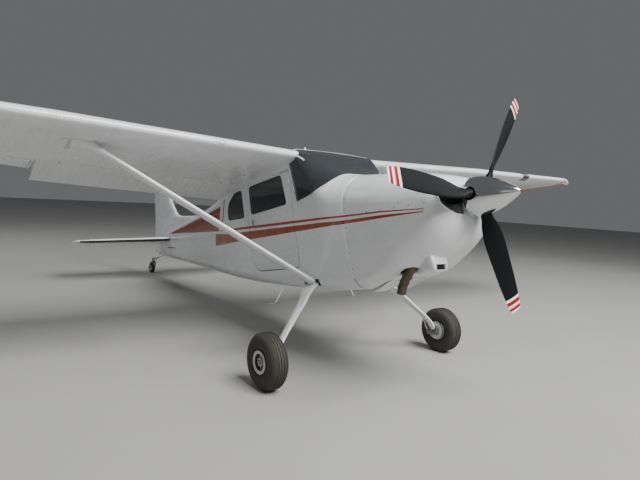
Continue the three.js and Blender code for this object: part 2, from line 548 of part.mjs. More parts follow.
// Wing sections
const WING_STEPS = [1, 0.85, 0.7, 0.5, 0.3, 0.15, 0.06, 0.015, 0];
function wingAt(y) {
  const t = Math.max(0, (y - WING.breakY) / (WING.tipY - WING.breakY));
  const twist = Math.max(0, (y - WING.rootY) / (WING.tipY - WING.rootY));
  return {
    chord: THREE.MathUtils.lerp(WING.rootChord, WING.tipChord, t),
    x: WING.leadX - WING.tipSweep * t,
    z: WING.leadZ + WING.rise * y,
    incidence: THREE.MathUtils.degToRad(THREE.MathUtils.lerp(WING.rootIncidence, WING.tipIncidence, twist)),
  };
}
function wingPoint(y, fraction, height, grow = 0) {
  const { chord, x, z, incidence } = wingAt(y);
  const along = fraction * (chord + 2 * grow) - grow;
  return new THREE.Vector3(x - along * Math.cos(incidence) - height * Math.sin(incidence), y,
    z - along * Math.sin(incidence) + height * Math.cos(incidence));
}
function camberHeight(t) {
  const m = 0.02;
  const p = 0.4;
  return t < p ? (m / p ** 2) * (2 * p * t - t * t) : (m / (1 - p) ** 2) * (1 - 2 * p + 2 * p * t - t * t);
}
function wingRing(y, grow = 0, slim = 1) {
  const { chord } = wingAt(y);
  const level = (t, side) => (camberHeight(t) + side * slim * (foilHeight(t, WING.thickness) + 0.0015)) * chord + side * grow;
  const top = WING_STEPS.map((t) => wingPoint(y, t, level(t, 1), grow));
  const low = WING_STEPS.slice(0, -1).reverse().map((t) => wingPoint(y, t, level(t, -1), grow));
  return top.concat(low);
}
const wingLoft = (ys, grow = 0) => loft(ys.map((y) => wingRing(y, grow)), ['x', 'z']);

// Flap and aileron fronts are flat: the flap turns about its lower front corner, the aileron about its upper one.
const hingeFraction = (chordPart) => 1 - chordPart;
function skinPoint(y, fraction, side, inset) {
  const { chord } = wingAt(y);
  return wingPoint(y, fraction, (camberHeight(fraction) + side * foilHeight(fraction, WING.thickness)) * chord - side * inset);
}
const flapHinge = (y) => skinPoint(y, hingeFraction(FLAP.chord), -1, 9);
const aileronHinge = (y) => skinPoint(y, hingeFraction(AILERON.chord), 1, 9);
const planLine = (y, fraction) => wingPoint(y, fraction, 0).x;

function rearPrism({ inY, outY, chord }, offset, gap) {
  const at = (y) => planLine(y, hingeFraction(chord)) + offset;
  return planPrism([[at(inY + gap), inY + gap], [at(outY - gap), outY - gap], [-3000, outY - gap], [-3000, inY + gap]], 1500, 2600);
}
const AILERON_RAKE = THREE.MathUtils.degToRad(AILERON.down + 2);
function rakedFront(shape) {
  const from = aileronHinge(AILERON.inY - 60);
  const to = aileronHinge(AILERON.outY + 60);
  const wedge = (p) => [[9, 30], [9, 0], [9 - 220 * Math.tan(AILERON_RAKE), -220], [500, -220], [500, 30]]
    .map(([dx, dz]) => new THREE.Vector3(p.x + dx, p.y, p.z + dz));
  return cut(shape, loft([wedge(from), wedge(to)], ['x', 'z']));
}

const BAY_CLEARANCE = 14;
const wingInner = wingLoft([500, WING.breakY, WING.tipY]);
const wingGrown = wingLoft([500, WING.breakY, WING.tipY], SKIN_GAP);
const flapBayCut = rearPrism(FLAP, BAY_CLEARANCE, 0);
const aileronBayCut = rearPrism(AILERON, BAY_CLEARANCE + 4, 0);
const FLAP_HINGES = [820, 1660, 2500];
const AILERON_HINGES = [2940, 3900, 4960];
const surfaceHinges = ({ inY, outY }, ys, hingeAt, rise) => ys.map((y) => {
  const inner = hingeAt(inY);
  const p = inner.clone().lerp(hingeAt(outY), (y - inY) / (outY - inY));
  const along = p.clone().sub(inner).toArray();
  const slot = box(p.x - 16, p.x + 60, y - HINGE.slotHalf, y + HINGE.slotHalf, p.z - 60, p.z + 60);
  return hingeParts(p.toArray(), along, [p.x + 60, y, p.z + rise], slot);
});
const flapHinges = surfaceHinges(FLAP, FLAP_HINGES, flapHinge, 18);
const aileronHinges = surfaceHinges(AILERON, AILERON_HINGES, aileronHinge, -18);

// Struts, with a streamline section
const STRUT = { low: [-290, 470, 672], high: [-640, 2490, 1975], chord: 152, half: 27 };
const STRUT_STEPS = [[0.3, 0], [0.24, 0.62], [0.1, 0.96], [-0.1, 1], [-0.4, 0.62], [-0.68, 0.12]];
function strutRing([x, y, z], scale) {
  const top = STRUT_STEPS.map(([along, up]) => new THREE.Vector3(x + along * STRUT.chord * scale, y, z + up * STRUT.half * scale));
  const low = STRUT_STEPS.slice(1).reverse().map(([along, up]) => (
    new THREE.Vector3(x + along * STRUT.chord * scale, y, z - up * STRUT.half * scale)));
  return top.concat(low);
}
const strutLoft = loft([strutRing(STRUT.low, 1.2), strutRing(STRUT.high, 1.2)], ['x', 'z']);
const strutLeft = cut(strutLoft, body(CABIN_SECTIONS, SKIN_GAP), wingGrown);

// The tip cap draws in towards its end. columns: y past the wing's end, length, thickness, both as parts of the tip section
const TIP_ROWS = [[SEAT_GAP, 1, 1], [90, 0.985, 0.86], [150, 0.95, 0.6], [WING.capY - WING.tipY, 0.87, 0.24]];
const tipCap = loft(TIP_ROWS.map(([out, length, thickness]) => {
  const ring = wingRing(WING.tipY + out, 0, thickness);
  const middle = wingPoint(WING.tipY + out, 0.45, 0).x;
  return ring.map((p) => new THREE.Vector3(THREE.MathUtils.lerp(middle, p.x, length), p.y, p.z));
}), ['x', 'z']);

// Small pieces in the wing: landing light lens and pitot mast on the left, built on the same sections
const LIGHT = { inY: 3790, outY: 3990, depth: 105 };
const lightBlock = planPrism([[0, LIGHT.inY], [0, LIGHT.outY], [planLine(LIGHT.outY, 0) - LIGHT.depth, LIGHT.outY],
  [planLine(LIGHT.inY, 0) - LIGHT.depth, LIGHT.inY]], 1500, 2600);
const lightInset = (gap) => planPrism([[0, LIGHT.inY + gap], [0, LIGHT.outY - gap],
  [planLine(LIGHT.outY, 0) - LIGHT.depth + gap, LIGHT.outY - gap],
  [planLine(LIGHT.inY, 0) - LIGHT.depth + gap, LIGHT.inY + gap]], 1500, 2600);
const pitotTop = skinPoint(3560, 0.16, -1, 0);

for (const { name, sign } of SIDES) {
  const clipped = cut(wingInner, body(CABIN_SECTIONS, SKIN_GAP), flapBayCut, aileronBayCut);
  const fitted = join(clipped, ...flapHinges.flatMap((h) => h.fixed), ...aileronHinges.flatMap((h) => h.fixed));
  addPart(`wing_${name}`, mirrored(sign > 0 ? cut(fitted, lightBlock) : fitted, sign), whitePaint());
  addPart(`wing_tip_${name}`, mirrored(tipCap, sign), whitePaint());
  addPart(`wing_strut_${name}`, mirrored(strutLeft, sign), whitePaint());

  const flapShape = cut(common(wingInner, rearPrism(FLAP, 8, MOVING_GAP)), ...flapHinges.flatMap((h) => h.clear));
  const hingeA = flapHinge(FLAP.inY);
  const hingeB = flapHinge(FLAP.outY);
  const flapAxis = hingeB.clone().sub(hingeA);
  addPart(`flap_${name}`, mirrored(rotateAbout(flapShape, hingeA.toArray(), flapAxis.toArray(), -FLAP.rest), sign), whitePaint());
  const aileronShape = rakedFront(common(wingInner, rearPrism(AILERON, 30, MOVING_GAP)));
  addPart(`aileron_${name}`, mirrored(cut(aileronShape, ...aileronHinges.flatMap((h) => h.clear)), sign), whitePaint());
}
addPart('landing_light', common(wingLoft([3700, 4100]), lightInset(SEAT_GAP)), darkGlass());
const pitotTube = join(rod([pitotTop.x, pitotTop.y, pitotTop.z + 20], [pitotTop.x - 10, pitotTop.y, pitotTop.z - 110], 9, 8),
  rod([pitotTop.x + 150, pitotTop.y, pitotTop.z - 105], [pitotTop.x - 20, pitotTop.y, pitotTop.z - 105], 8, 8));
addPart('pitot_mast', cut(pitotTube, wingGrown), alloy());

// Main gear legs: columns x, y, z, half width, half thickness
const LEG_ROWS = [[-232, 448, 640, 54, 13], [-214, 540, 588, 52, 13], [-155, 812, 330, 42, 11], [-78, 1034, 78, 34, 9], [-62, 1048, 6, 33, 8]];
const AXLE = { radius: 22, bore: 22.5, innerY: 1038, outerY: 1234 };
const DISC = { inner: 1062, outer: 1072, radius: 92 };
const PLATE = { half: 48, inner: 1036, outer: 1054 };
const CALIPER = { x0: -104, x1: -48, z0: -36, z1: 60, outer: 1082 };
function fromGround(x, y, z) {
  const up = z - AXLE_HEIGHT;
  const c = Math.cos(PARK_PITCH);
  const s = Math.sin(PARK_PITCH);
  return [x * c + up * s, y, -x * s + up * c];
}
const mainAxle = fromGround(-MAIN_AXLE_BACK, 0, AXLE_HEIGHT);
function legRing([x, y, z, wide, thin]) {
  const lean = [0, 0.45, 0.89];
  const corners = [[1, 0], [0.7, 1], [-0.7, 1], [-1, 0], [-0.7, -1], [0.7, -1]];
  return corners.map(([u, v]) => new THREE.Vector3(x + u * wide, y + v * thin * lean[2], z + v * thin * lean[1]));
}
const legLoft = cut(loft(LEG_ROWS.map(legRing), ['x', 'y']), body(CABIN_SECTIONS, SKIN_GAP));
const caliper = cut(box(CALIPER.x0, CALIPER.x1, PLATE.inner, CALIPER.outer, CALIPER.z0, CALIPER.z1),
  rod([0, DISC.inner - 5, 0], [0, DISC.outer + 5, 0], DISC.radius + 6, 24));
const legPlate = box(-PLATE.half, PLATE.half, PLATE.inner, PLATE.outer, -PLATE.half, PLATE.half);
const axleStub = rod([0, AXLE.innerY, 0], [0, AXLE.outerY, 0], AXLE.radius, 20);
const atAxle = [legPlate, axleStub, caliper].map((piece) => piece.translate(...mainAxle));
const TYRE_PROFILE = [[80, -62], [102, -66], [150, -88], [196, -86], [230, -68], [248, -40],
  [248, 40], [230, 68], [196, 86], [150, 88], [102, 66], [80, 62], [80, -62]];
const HUB_PROFILE = [[AXLE.bore, -104], [92, -104], [92, -94], [46, -94], [46, -74], [98, -74], [79.6, -62],
  [79.6, 62], [98, 74], [60, 74], [40, 58], [40, 84], [AXLE.bore, 84], [AXLE.bore, -104]];
for (const { name, sign } of SIDES) {
  addPart(`gear_leg_${name}`, mirrored(join(legLoft, ...atAxle), sign), whitePaint());
  const wheel = new THREE.Group();
  wheel.position.set(mainAxle[0], sign * MAIN_TRACK_HALF, mainAxle[2]);
  wheel.rotation.y = PARK_PITCH;
  airframe.add(wheel);
  const facet = Math.PI / TYRE.facets;
  addPart(`tyre_${name}`, turned(TYRE_PROFILE, TYRE.facets).rotateY(facet), rubber(), wheel);
  addPart(`wheel_hub_${name}`, mirrored(turned(HUB_PROFILE, TYRE.facets).rotateY(facet), sign), alloy(), wheel);
}

// Tail gear, with its places x back from zero and z up from the ground
const KINGPIN = { x: -6372, top: 302, bottom: 242, lean: 10, radius: 17, socket: 17.5, housing: 32 };
const kingAt = (z) => fromGround(KINGPIN.x + ((z - KINGPIN.bottom) * KINGPIN.lean) / (KINGPIN.top - KINGPIN.bottom), 0, z);
const tailSpringPath = new THREE.CatmullRomCurve3([[-5560, 462], [-5820, 428], [-6080, 362], [-6270, 296], [-6345, 272]]
  .map(([x, z]) => new THREE.Vector3(...fromGround(x, 0, z))));
const springSection = new THREE.Shape([[-22, -9], [22, -9], [22, 9], [-22, 9]].map((p) => new THREE.Vector2(...p)));
const springBar = new THREE.ExtrudeGeometry(springSection, { steps: 10, bevelEnabled: false, extrudePath: tailSpringPath });
const housing = rod(kingAt(KINGPIN.bottom), kingAt(KINGPIN.top), KINGPIN.housing, 16);
const kingBore = rod(kingAt(KINGPIN.bottom - 40), kingAt(KINGPIN.top + 40), KINGPIN.socket, 16);
addPart('tail_spring', cut(join(springBar, housing), kingBore, tailConeGrown(SKIN_GAP)), steel());
const tailAxle = fromGround(-TAIL_AXLE_BACK, 0, TAIL_AXLE_HEIGHT);
const FORK = { armY: 54, outerY: 66, axle: 9, bore: 9.4, drop: 28 };
const forkCrown = kingAt(KINGPIN.bottom - FORK.drop);
const atFork = (point, y) => [point[0], y, point[2]];
const forkArms = [-1, 1].map((s) => rod(atFork(forkCrown, s * FORK.armY), atFork(tailAxle, s * FORK.armY), 13, 8, 11));
const forkBridge = rod(atFork(forkCrown, -FORK.outerY), atFork(forkCrown, FORK.outerY), 14, 10);
const kingPin = rod(forkCrown, kingAt(KINGPIN.top + 8), KINGPIN.radius, 16);
const forkAxle = rod(atFork(tailAxle, -FORK.outerY), atFork(tailAxle, FORK.outerY), FORK.axle, 12);
addPart('tail_fork', join(forkBridge, ...forkArms, kingPin, forkAxle), steel());
const TAIL_TYRE_PROFILE = [[46, -24], [66, -34], [90, -30], [105, -14], [105, 14], [90, 30], [66, 34], [46, 24], [46, -24]];
const TAIL_HUB_PROFILE = [[FORK.bore, -32], [24, -32], [24, -20], [45.7, -24], [45.7, 24], [24, 20], [24, 32], [FORK.bore, 32], [FORK.bore, -32]];
const tailWheel = new THREE.Group();
tailWheel.position.set(...tailAxle);
tailWheel.rotation.y = PARK_PITCH;
airframe.add(tailWheel);
addPart('tail_tyre', turned(TAIL_TYRE_PROFILE, TAIL_TYRE.facets).rotateY(Math.PI / TAIL_TYRE.facets), rubber(), tailWheel);
addPart('tail_wheel_hub', turned(TAIL_HUB_PROFILE, TAIL_TYRE.facets).rotateY(Math.PI / TAIL_TYRE.facets), alloy(), tailWheel);

// Propeller and spinner in their own frame, with the thrust line along X
const propeller = new THREE.Group();
propeller.position.set(PROP.x, 0, PROP.z);
propeller.rotation.y = THREE.MathUtils.degToRad(PROP.downThrust);
airframe.add(propeller);
// columns: radius, chord, thickness, blade angle in degrees
const BLADE_ROWS = [[50, 64, 60, 50], [150, 84, 56, 48], [240, 150, 40, 42], [450, 184, 26, 31], [700, 178, 17, 23], [900, 150, 11, 18],
  [1000, 112, 8, 16], [PROP.radius, 60, 5, 15]];
const BLADE_STEPS = [[0.5, 0], [0.3, 0.8], [0, 1], [-0.3, 0.7], [-0.5, 0.1], [-0.3, -0.6], [0, -0.8], [0.3, -0.7]];
const bladeRing = ([radius, chord, thickness, angle]) => BLADE_STEPS.map(([along, up]) => {
  const turn = THREE.MathUtils.degToRad(angle);
  const lead = along * chord;
  const back = up * thickness / 2;
  return new THREE.Vector3(lead * Math.sin(turn) + back * Math.cos(turn), radius, lead * Math.cos(turn) - back * Math.sin(turn));
});
const blade = loft(BLADE_ROWS.map(bladeRing), ['x', 'z']);
const blades = [0, 1, 2].map((k) => blade.clone().rotateX(THREE.MathUtils.degToRad(PROP.phase + 120 * k)));
const hubBarrel = rod([-70, 0, 0], [60, 0, 0], 92, 20);
addPart('propeller', cut(join(hubBarrel, ...blades), rod([-90, 0, 0], [-15, 0, 0], PROP_SHAFT.bore, 20)), blackPaint(), propeller);
const SPINNER_PROFILE = [[-54, 0.985], [-10, 1], [60, 0.93], [150, 0.76], [240, 0.5], [310, 0.24], [345, 0.04]];
const spinnerOutline = SPINNER_PROFILE.map(([x, part]) => [PROP.spinnerRadius * part, x]);
const spinnerInner = SPINNER_PROFILE.slice(0, 5).map(([x, part]) => [PROP.spinnerRadius * part - 8, x]).reverse();
const spinnerRing = [[0, 345], [0, 262], ...spinnerInner, ...spinnerOutline];
const spinnerSkin = turned([...spinnerRing.slice(1), spinnerRing[0]], 24).rotateZ(-Math.PI / 2);
const bladeHole = (k) => {
  const a = THREE.MathUtils.degToRad(PROP.phase + 120 * k);
  const at = (r) => [0, r * Math.cos(a), r * Math.sin(a)];
  return rod(at(100), at(260), 58, 10);
};
const spinnerPlug = rod([60.3, 0, 0], [280, 0, 0], 30, 12);
addPart('spinner', join(cut(spinnerSkin, ...[0, 1, 2].map(bladeHole)), spinnerPlug), alloy(), propeller);

// Exhaust stack, intake scoop, boarding steps
const EXHAUST = { y: -300, topX: 870, topZ: 765, endX: 752, endZ: 510, radius: 36, wall: 4 };
const exhaustFrom = new THREE.Vector3(EXHAUST.topX, EXHAUST.y, EXHAUST.topZ);
const exhaustAlong = new THREE.Vector3(EXHAUST.endX, EXHAUST.y, EXHAUST.endZ).sub(exhaustFrom).normalize();
const exhaustRod = (from, to, radius) => rod(exhaustFrom.clone().addScaledVector(exhaustAlong, from).toArray(),
  exhaustFrom.clone().addScaledVector(exhaustAlong, to).toArray(), radius, 14);
addPart('exhaust', cut(join(exhaustRod(0, 280, EXHAUST.radius), exhaustRod(120, 150, EXHAUST.radius + 7)),
  exhaustRod(60, 420, EXHAUST.radius - EXHAUST.wall), body(COWL_SECTIONS, SKIN_GAP)), steel());
const SCOOP = { x0: 985, x1: 1105, y0: -222, y1: -84, bottom: 655, wall: 6 };
const scoopBox = box(SCOOP.x0, SCOOP.x1, SCOOP.y0, SCOOP.y1, SCOOP.bottom, 900);
const scoopMouth = box(SCOOP.x0 + 40, SCOOP.x1 + 10, SCOOP.y0 + SCOOP.wall, SCOOP.y1 - SCOOP.wall, SCOOP.bottom + SCOOP.wall, 718);
addPart('intake_scoop', cut(scoopBox, scoopMouth, body(COWL_SECTIONS, SKIN_GAP)), whitePaint());

const STEP = { rootX: -826, rootY: 410, rootZ: 680, footX: -848, footY: 552, footZ: 472, radius: 11 };
for (const { name, sign } of SIDES) {
  const stay = rod([STEP.rootX, STEP.rootY, STEP.rootZ], [STEP.footX, STEP.footY, STEP.footZ], STEP.radius, 10);
  const pad = box(STEP.footX - 50, STEP.footX + 50, STEP.footY - 30, STEP.footY + 60, STEP.footZ - 16, STEP.footZ - 4);
  addPart(`boarding_step_${name}`, mirrored(cut(join(stay, pad), body(CABIN_SECTIONS, SKIN_GAP)), sign), steel());
}

// Cabin inside: floor with seat rails, instrument panel with its two control wheels, seats
const cabinRoom = body(CABIN_SECTIONS, -WALL - SKIN_GAP);
const seatRoom = body(CABIN_SECTIONS, -WALL - MOVING_GAP);
const floorLine = (x) => 655 + (x < -500 ? (-500 - x) * 0.115 : 0);
const floorCut = sidePrism([[FIREWALL_X - 12, 300], [FIREWALL_X - 12, floorLine(0)], [-500, floorLine(-500)], [-2292, floorLine(-2292)],
  [-2292, 300]], -700, 700);
const SEATS = [
  { name: 'seat_front_left', y: 250, x: -760, half: 225 },
  { name: 'seat_front_right', y: -250, x: -760, half: 225 },
  { name: 'seat_rear', y: 0, x: -1560, half: 410 },
];
const seatBase = ({ y, x, half }) => box(x - 190, x + 190, y - half + 50, y + half - 50, floorLine(x) - 60, 900);
addPart('cabin_floor', common(cabinRoom, join(floorCut, ...SEATS.map(seatBase))), trim());
for (const seat of SEATS) {
  const { name, y, x, half } = seat;
  const outline = [[x - 250, 900.3, 30], [x + 245, 900.3, 30], [x + 250, 1010, 40], [x - 150, 1000, 40], [x - 270, 1560, 50], [x - 400, 1540, 50]];
  addPart(name, common(seatRoom, sidePrism(outline, y - half, y + half, 4)), upholstery());
}
const PANEL = { front: -60, back: -104, low: 1270, top: 1668, shaftZ: 1400, shaftY: 255 };
const panelSlab = common(cabinRoom, box(PANEL.back, PANEL.front, -700, 700, PANEL.low, PANEL.top));
const yokes = [-1, 1].flatMap((s) => {
  const y = s * PANEL.shaftY;
  const grip = new THREE.CatmullRomCurve3([[-312, y - 150, 1490], [-300, y - 135, 1405], [-296, y, 1388], [-300, y + 135, 1405], [-312, y + 150, 1490]]
    .map((p) => new THREE.Vector3(...p)));
  return [rod([PANEL.front - 10, y, PANEL.shaftZ], [-300, y, 1390], 12, 8), tube(grip, 14, 12, 3)];
});
addPart('instrument_panel', join(panelSlab, ...yokes), trim());

// Cowl flaps last, turned down to rest about their front edge
for (const { name, sign } of SIDES) {
  const hinge = [COWL_FLAP.hingeX, 0, COWL_FLAP.hingeZ];
  addPart(`cowl_flap_${name}`, mirrored(rotateAbout(flapShell, hinge, [0, 1, 0], -COWL_FLAP.rest), sign), whitePaint());
}

// The origin is the middle of the footprint on the ground.
aircraft.updateMatrixWorld(true);
const bounds = new THREE.Box3().setFromObject(aircraft, true);
aircraft.position.set(-(bounds.min.x + bounds.max.x) / 2, 0, 0);

export default aircraft;
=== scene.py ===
import math

import bmesh
import bpy
from bpy.props import FloatProperty, FloatVectorProperty, PointerProperty
from mathutils import Matrix, Vector


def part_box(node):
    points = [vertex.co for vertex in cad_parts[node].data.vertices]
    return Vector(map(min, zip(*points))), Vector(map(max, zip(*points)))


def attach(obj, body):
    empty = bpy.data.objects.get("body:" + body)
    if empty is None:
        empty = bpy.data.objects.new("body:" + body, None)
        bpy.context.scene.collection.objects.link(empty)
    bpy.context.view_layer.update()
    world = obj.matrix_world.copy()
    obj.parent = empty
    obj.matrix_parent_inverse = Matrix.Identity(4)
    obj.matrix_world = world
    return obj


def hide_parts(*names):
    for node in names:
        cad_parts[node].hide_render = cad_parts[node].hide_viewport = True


bl_info = {
    "name": "Light aircraft looks",
    "version": (1, 0, 0),
    "blender": (4, 5, 0),
    "location": "View3D > Sidebar > Aircraft",
    "description": "Surfaces, cabin and undercarriage of a high-wing light aircraft on its CAD frame",
    "category": "Object",
}

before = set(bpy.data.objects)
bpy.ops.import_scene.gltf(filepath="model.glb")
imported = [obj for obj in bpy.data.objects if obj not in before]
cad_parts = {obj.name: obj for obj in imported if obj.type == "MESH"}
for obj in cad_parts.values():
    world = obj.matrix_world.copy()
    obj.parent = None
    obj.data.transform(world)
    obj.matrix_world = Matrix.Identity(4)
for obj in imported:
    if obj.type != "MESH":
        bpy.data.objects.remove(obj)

# Tables are in millimetres on the level airframe, which the frame holds pitched nose up on its tail wheel.
MM = 0.001
PITCH = math.radians(11.5)
AXLE_AFT = 0.060
tyre_low, tyre_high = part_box("tyre_left")
ORIGIN_X = (tyre_low.x + tyre_high.x) / 2 + AXLE_AFT
AXLE_Z = (tyre_low.z + tyre_high.z) / 2
LEVEL = Matrix.Translation((ORIGIN_X, 0, AXLE_Z)) @ Matrix.Rotation(-PITCH, 4, "Y")

# Fuselage from nose to tail: x, bottom, top, low half, high half, low radius, high radius,
# side bulge, roof crown, low reach
FUSELAGE = [
    (1302, 1050, 1350, 250, 258, 124, 146, 0, 0, 216),
    (1292, 1022, 1378, 284, 292, 156, 168, 0, 0, 248),
    (1264, 980, 1418, 358, 366, 206, 200, 0, 2, 330),
    (1190, 880, 1462, 414, 420, 280, 252, 4, 3, 376),
    (1000, 750, 1518, 440, 452, 290, 315, 8, 4, 356),
    (840, 678, 1549, 444, 466, 240, 323, 10, 4, 288),
    (700, 656, 1577, 426, 478, 180, 330, 12, 4, 202),
    (640, 648, 1588, 412, 481, 152, 330, 14, 4, 152),
    (300, 562, 1647, 433, 497, 166, 326, 12, 4, 166),
    (120, 563, 1686, 448, 522, 150, 310, 10, 4, 150),
    (-60, 567, 1784, 460, 546, 140, 250, 8, 6, 140),
    (-200, 576, 1910, 465, 554, 134, 150, 6, 8, 134),
    (-345, 586, 2028, 468, 556, 130, 84, 6, 10, 130),
    (-520, 600, 2046, 472, 556, 130, 66, 6, 12, 130),
    (-1350, 686, 2034, 470, 550, 130, 66, 6, 12, 130),
    (-1900, 752, 1955, 440, 512, 130, 100, 8, 14, 130),
    (-2300, 808, 1908, 400, 456, 132, 170, 10, 10, 132),
    (-3000, 914, 1862, 320, 360, 140, 200, 10, 4, 140),
    (-4000, 1075, 1802, 225, 250, 120, 150, 8, 2, 120),
    (-5000, 1238, 1748, 140, 155, 90, 100, 4, 0, 90),
    (-5546, 1327, 1719, 90, 97, 60, 60, 0, 0, 60),
]
FIREWALL_X = 300
CABIN_END = -2300
TAIL_END = -5546
WALL = 34
COWL_WALL = 14
COWL_SPLIT = ((1330, 1232), (290, 1318))
INLET = [(82, 1118, 30), (222, 1122, 60), (352, 1218, 40), (364, 1304, 36), (82, 1318, 40)]
DOOR = [(-455, 812, 40), (-455, 1836, 18), (-1372, 1836, 30), (-1392, 816, 170)]
DOOR_WINDOW = [(-545, 1482, 45), (-600, 1812, 45), (-1306, 1812, 50), (-1310, 1478, 50)]
REAR_WINDOW = [(-1470, 1468, 50), (-1475, 1808, 50), (-1700, 1812, 120), (-1938, 1680, 115),
               (-1945, 1496, 60)]
WINDSCREEN = [(112, 1900, 0), (112, 1660, 30), (66, 1588, 35), (-40, 1526, 50), (-150, 1502, 50),
              (-372, 1482, 20),
              (-440, 1930, 10), (-356, 2052, 0), (-330, 2140, 0), (112, 2140, 0)]

WING = {"root": 566, "break": 2710, "tip": 5290, "cap": 5470, "root_chord": 1626, "tip_chord": 1118,
        "sweep": 100,
        "lead_x": -292, "lead_z": 1941, "rise": 0.0332, "root_incidence": 3.2, "tip_incidence": -0.6,
        "thickness": 0.12}
FLAP = {"inner": 600, "outer": 2700, "chord": 0.28, "rest": 15}
AILERON = {"inner": 2720, "outer": 5180, "chord": 0.24, "down": 14}
PROP = {"x": 1405, "z": 1256, "down_thrust": 3.0, "radius": 1044, "spinner": 160, "phase": 54.6}
TAIL = {"hinge": -5500, "z": 1575, "spar": -5395, "rudder": -5585, "nose": 27, "cove": 6}
STRUT = {"low": (-290, 470, 672), "high": (-640, 2490, 1975), "chord": 152, "half": 27}
SIDES = {"left": 1, "right": -1}


# Shape helpers
def monotone(xs, ys, x):
    """Value at x of the monotone cubic through the points; xs fall from nose to tail."""
    last = len(xs) - 1
    i = 0
    while i < last - 1 and x < xs[i + 1]:
        i += 1
    def slope(k):
        return (ys[k + 1] - ys[k]) / (xs[k + 1] - xs[k])
    def tangent(k):
        if k in (0, last):
            return slope(0 if k == 0 else last - 1)
        a, b = slope(k - 1), slope(k)
        return 0.0 if a * b <= 0 else 2 * a * b / (a + b)
    h = xs[i + 1] - xs[i]
    t = (x - xs[i]) / h
    return ((2 * t**3 - 3 * t**2 + 1) * ys[i] + (t**3 - 2 * t**2 + t) * h * tangent(i)
            + (-2 * t**3 + 3 * t**2) * ys[i + 1] + (t**3 - t**2) * h * tangent(i + 1))


COLUMNS = list(zip(*FUSELAGE))


def section_at(x):
    return (x, *(monotone(COLUMNS[0], column, x) for column in COLUMNS[1:]))


def fuselage_ring(x, grow=0.0, arc=9, side=7, flat=3):
    """Points of one cross-section, from the keel up the left side and down the right."""
    _, bottom, top, low, high, low_r, high_r, bulge, crown, reach = section_at(x)
    r1, r2, out = max(low_r + grow, 8), max(high_r + grow, 8), max(reach + grow, 8)
    low_y, low_z = low + grow - out, bottom - grow + r1
    high_y, high_z = high + grow - r2, top + grow - r2
    half = [(low_y * i / flat, bottom - grow) for i in range(flat)]
    half += [(low_y + out * math.sin(a), low_z - r1 * math.cos(a))
             for a in (math.pi / 2 * i / arc for i in range(arc + 1))]
    for i in range(1, side):
        t = i / side
        half.append((low + (high - low) * t + grow + bulge * 4.5 * t * (1 - t),
                     low_z + (high_z - low_z) * t))
    half += [(high_y + r2 * math.cos(a), high_z + r2 * math.sin(a))
             for a in (math.pi / 2 * i / arc for i in range(arc + 1))]
    half += [(high_y * i / flat, top + grow + crown * (1 - (i / flat) ** 2))
             for i in range(flat - 1, -1, -1)]
    left = [Vector((x, y, z)) * MM for y, z in half]
    right = [Vector((x, -y, z)) * MM for y, z in half[-2:0:-1]]
    return left + right


def stations(x0, x1, step=45):
    """Cross-section places from x0 back to x1, with every table row between them."""
    count = max(2, int(abs(x0 - x1) / step))
    spread = [x0 + (x1 - x0) * i / count for i in range(count + 1)]
    kept = [row[0] for row in FUSELAGE if x1 < row[0] < x0
            and min(abs(row[0] - s) for s in spread) > step / 4]
    return sorted(spread + kept, reverse=True)


def side_point(x, z, sign=1, proud=0.0):
    """A point of the fuselage side at a level place, and the outward normal there."""
    ring = [p for p in fuselage_ring(x, arc=14, side=14) if p.y >= 0]
    ring = [p for p in ring if p.y > ring[2].y * 0.5]
    above = next((i for i, p in enumerate(ring) if p.z >= z * MM), len(ring) - 1)
    a, b = ring[max(above - 1, 0)], ring[above]
    t = 0 if a == b else min(max((z * MM - a.z) / max(b.z - a.z, 1e-6), 0), 1)
    point = a.lerp(b, t)
    along = b - a
    normal = Vector((0, along.z, -along.y)).normalized()
    point = point + normal * proud * MM
    return Vector((point.x, sign * point.y, point.z)), Vector((0, sign * normal.y, normal.z))


def rounded(outline, steps=6):
    """Corner points (x, z, rounding) as a smooth outline."""
    points = []
    count = len(outline)
    for i, (x, z, round_by) in enumerate(outline):
        here = Vector((x, z))
        if round_by == 0:
            points.append(here)
            continue
        before = Vector(outline[i - 1][:2])
        after = Vector(outline[(i + 1) % count][:2])
        round_by = min(round_by, 0.48 * (before - here).length, 0.48 * (after - here).length)
        start = here + (before - here).normalized() * round_by
        end = here + (after - here).normalized() * round_by
        for k in range(steps + 1):
            t = k / steps
            points.append(start * (1 - t) ** 2 + here * 2 * t * (1 - t) + end * t * t)
    return points


def inset(outline, gap):
    """The outline moved inwards by gap, or outwards where gap is negative."""
    count = len(outline)
    area = sum(outline[i][0] * outline[(i + 1) % count][1] - outline[(i + 1) % count][0] * outline[i][1]
               for i in range(count))
    turn = 1 if area > 0 else -1
    moved = []
    for i, (x, z, round_by) in enumerate(outline):
        here = Vector((x, z))
        d1 = (here - Vector(outline[i - 1][:2])).normalized()
        d2 = (Vector(outline[(i + 1) % count][:2]) - here).normalized()
        n1, n2 = Vector((-d1.y, d1.x)) * turn, Vector((-d2.y, d2.x)) * turn
        shift = (n1 + n2) * gap / (1 + n1.dot(n2))
        moved.append((x + shift.x, z + shift.y, max(round_by - gap * 0.4, 0) if round_by else 0))
    return moved


# Object helpers
def only(*objects):
    """Leaves just these objects selected, the first of them active."""
    bpy.ops.object.select_all(action="DESELECT")
    for one in objects:
        one.select_set(True)
    bpy.context.view_layer.objects.active = objects[0]


def mesh_piece(name, points, faces):
    mesh = bpy.data.meshes.new(name)
    mesh.from_pydata([tuple(p) for p in points], [], faces)
    mesh.update()
    piece = bpy.data.objects.new(name, mesh)
    bpy.context.scene.collection.objects.link(piece)
    return piece


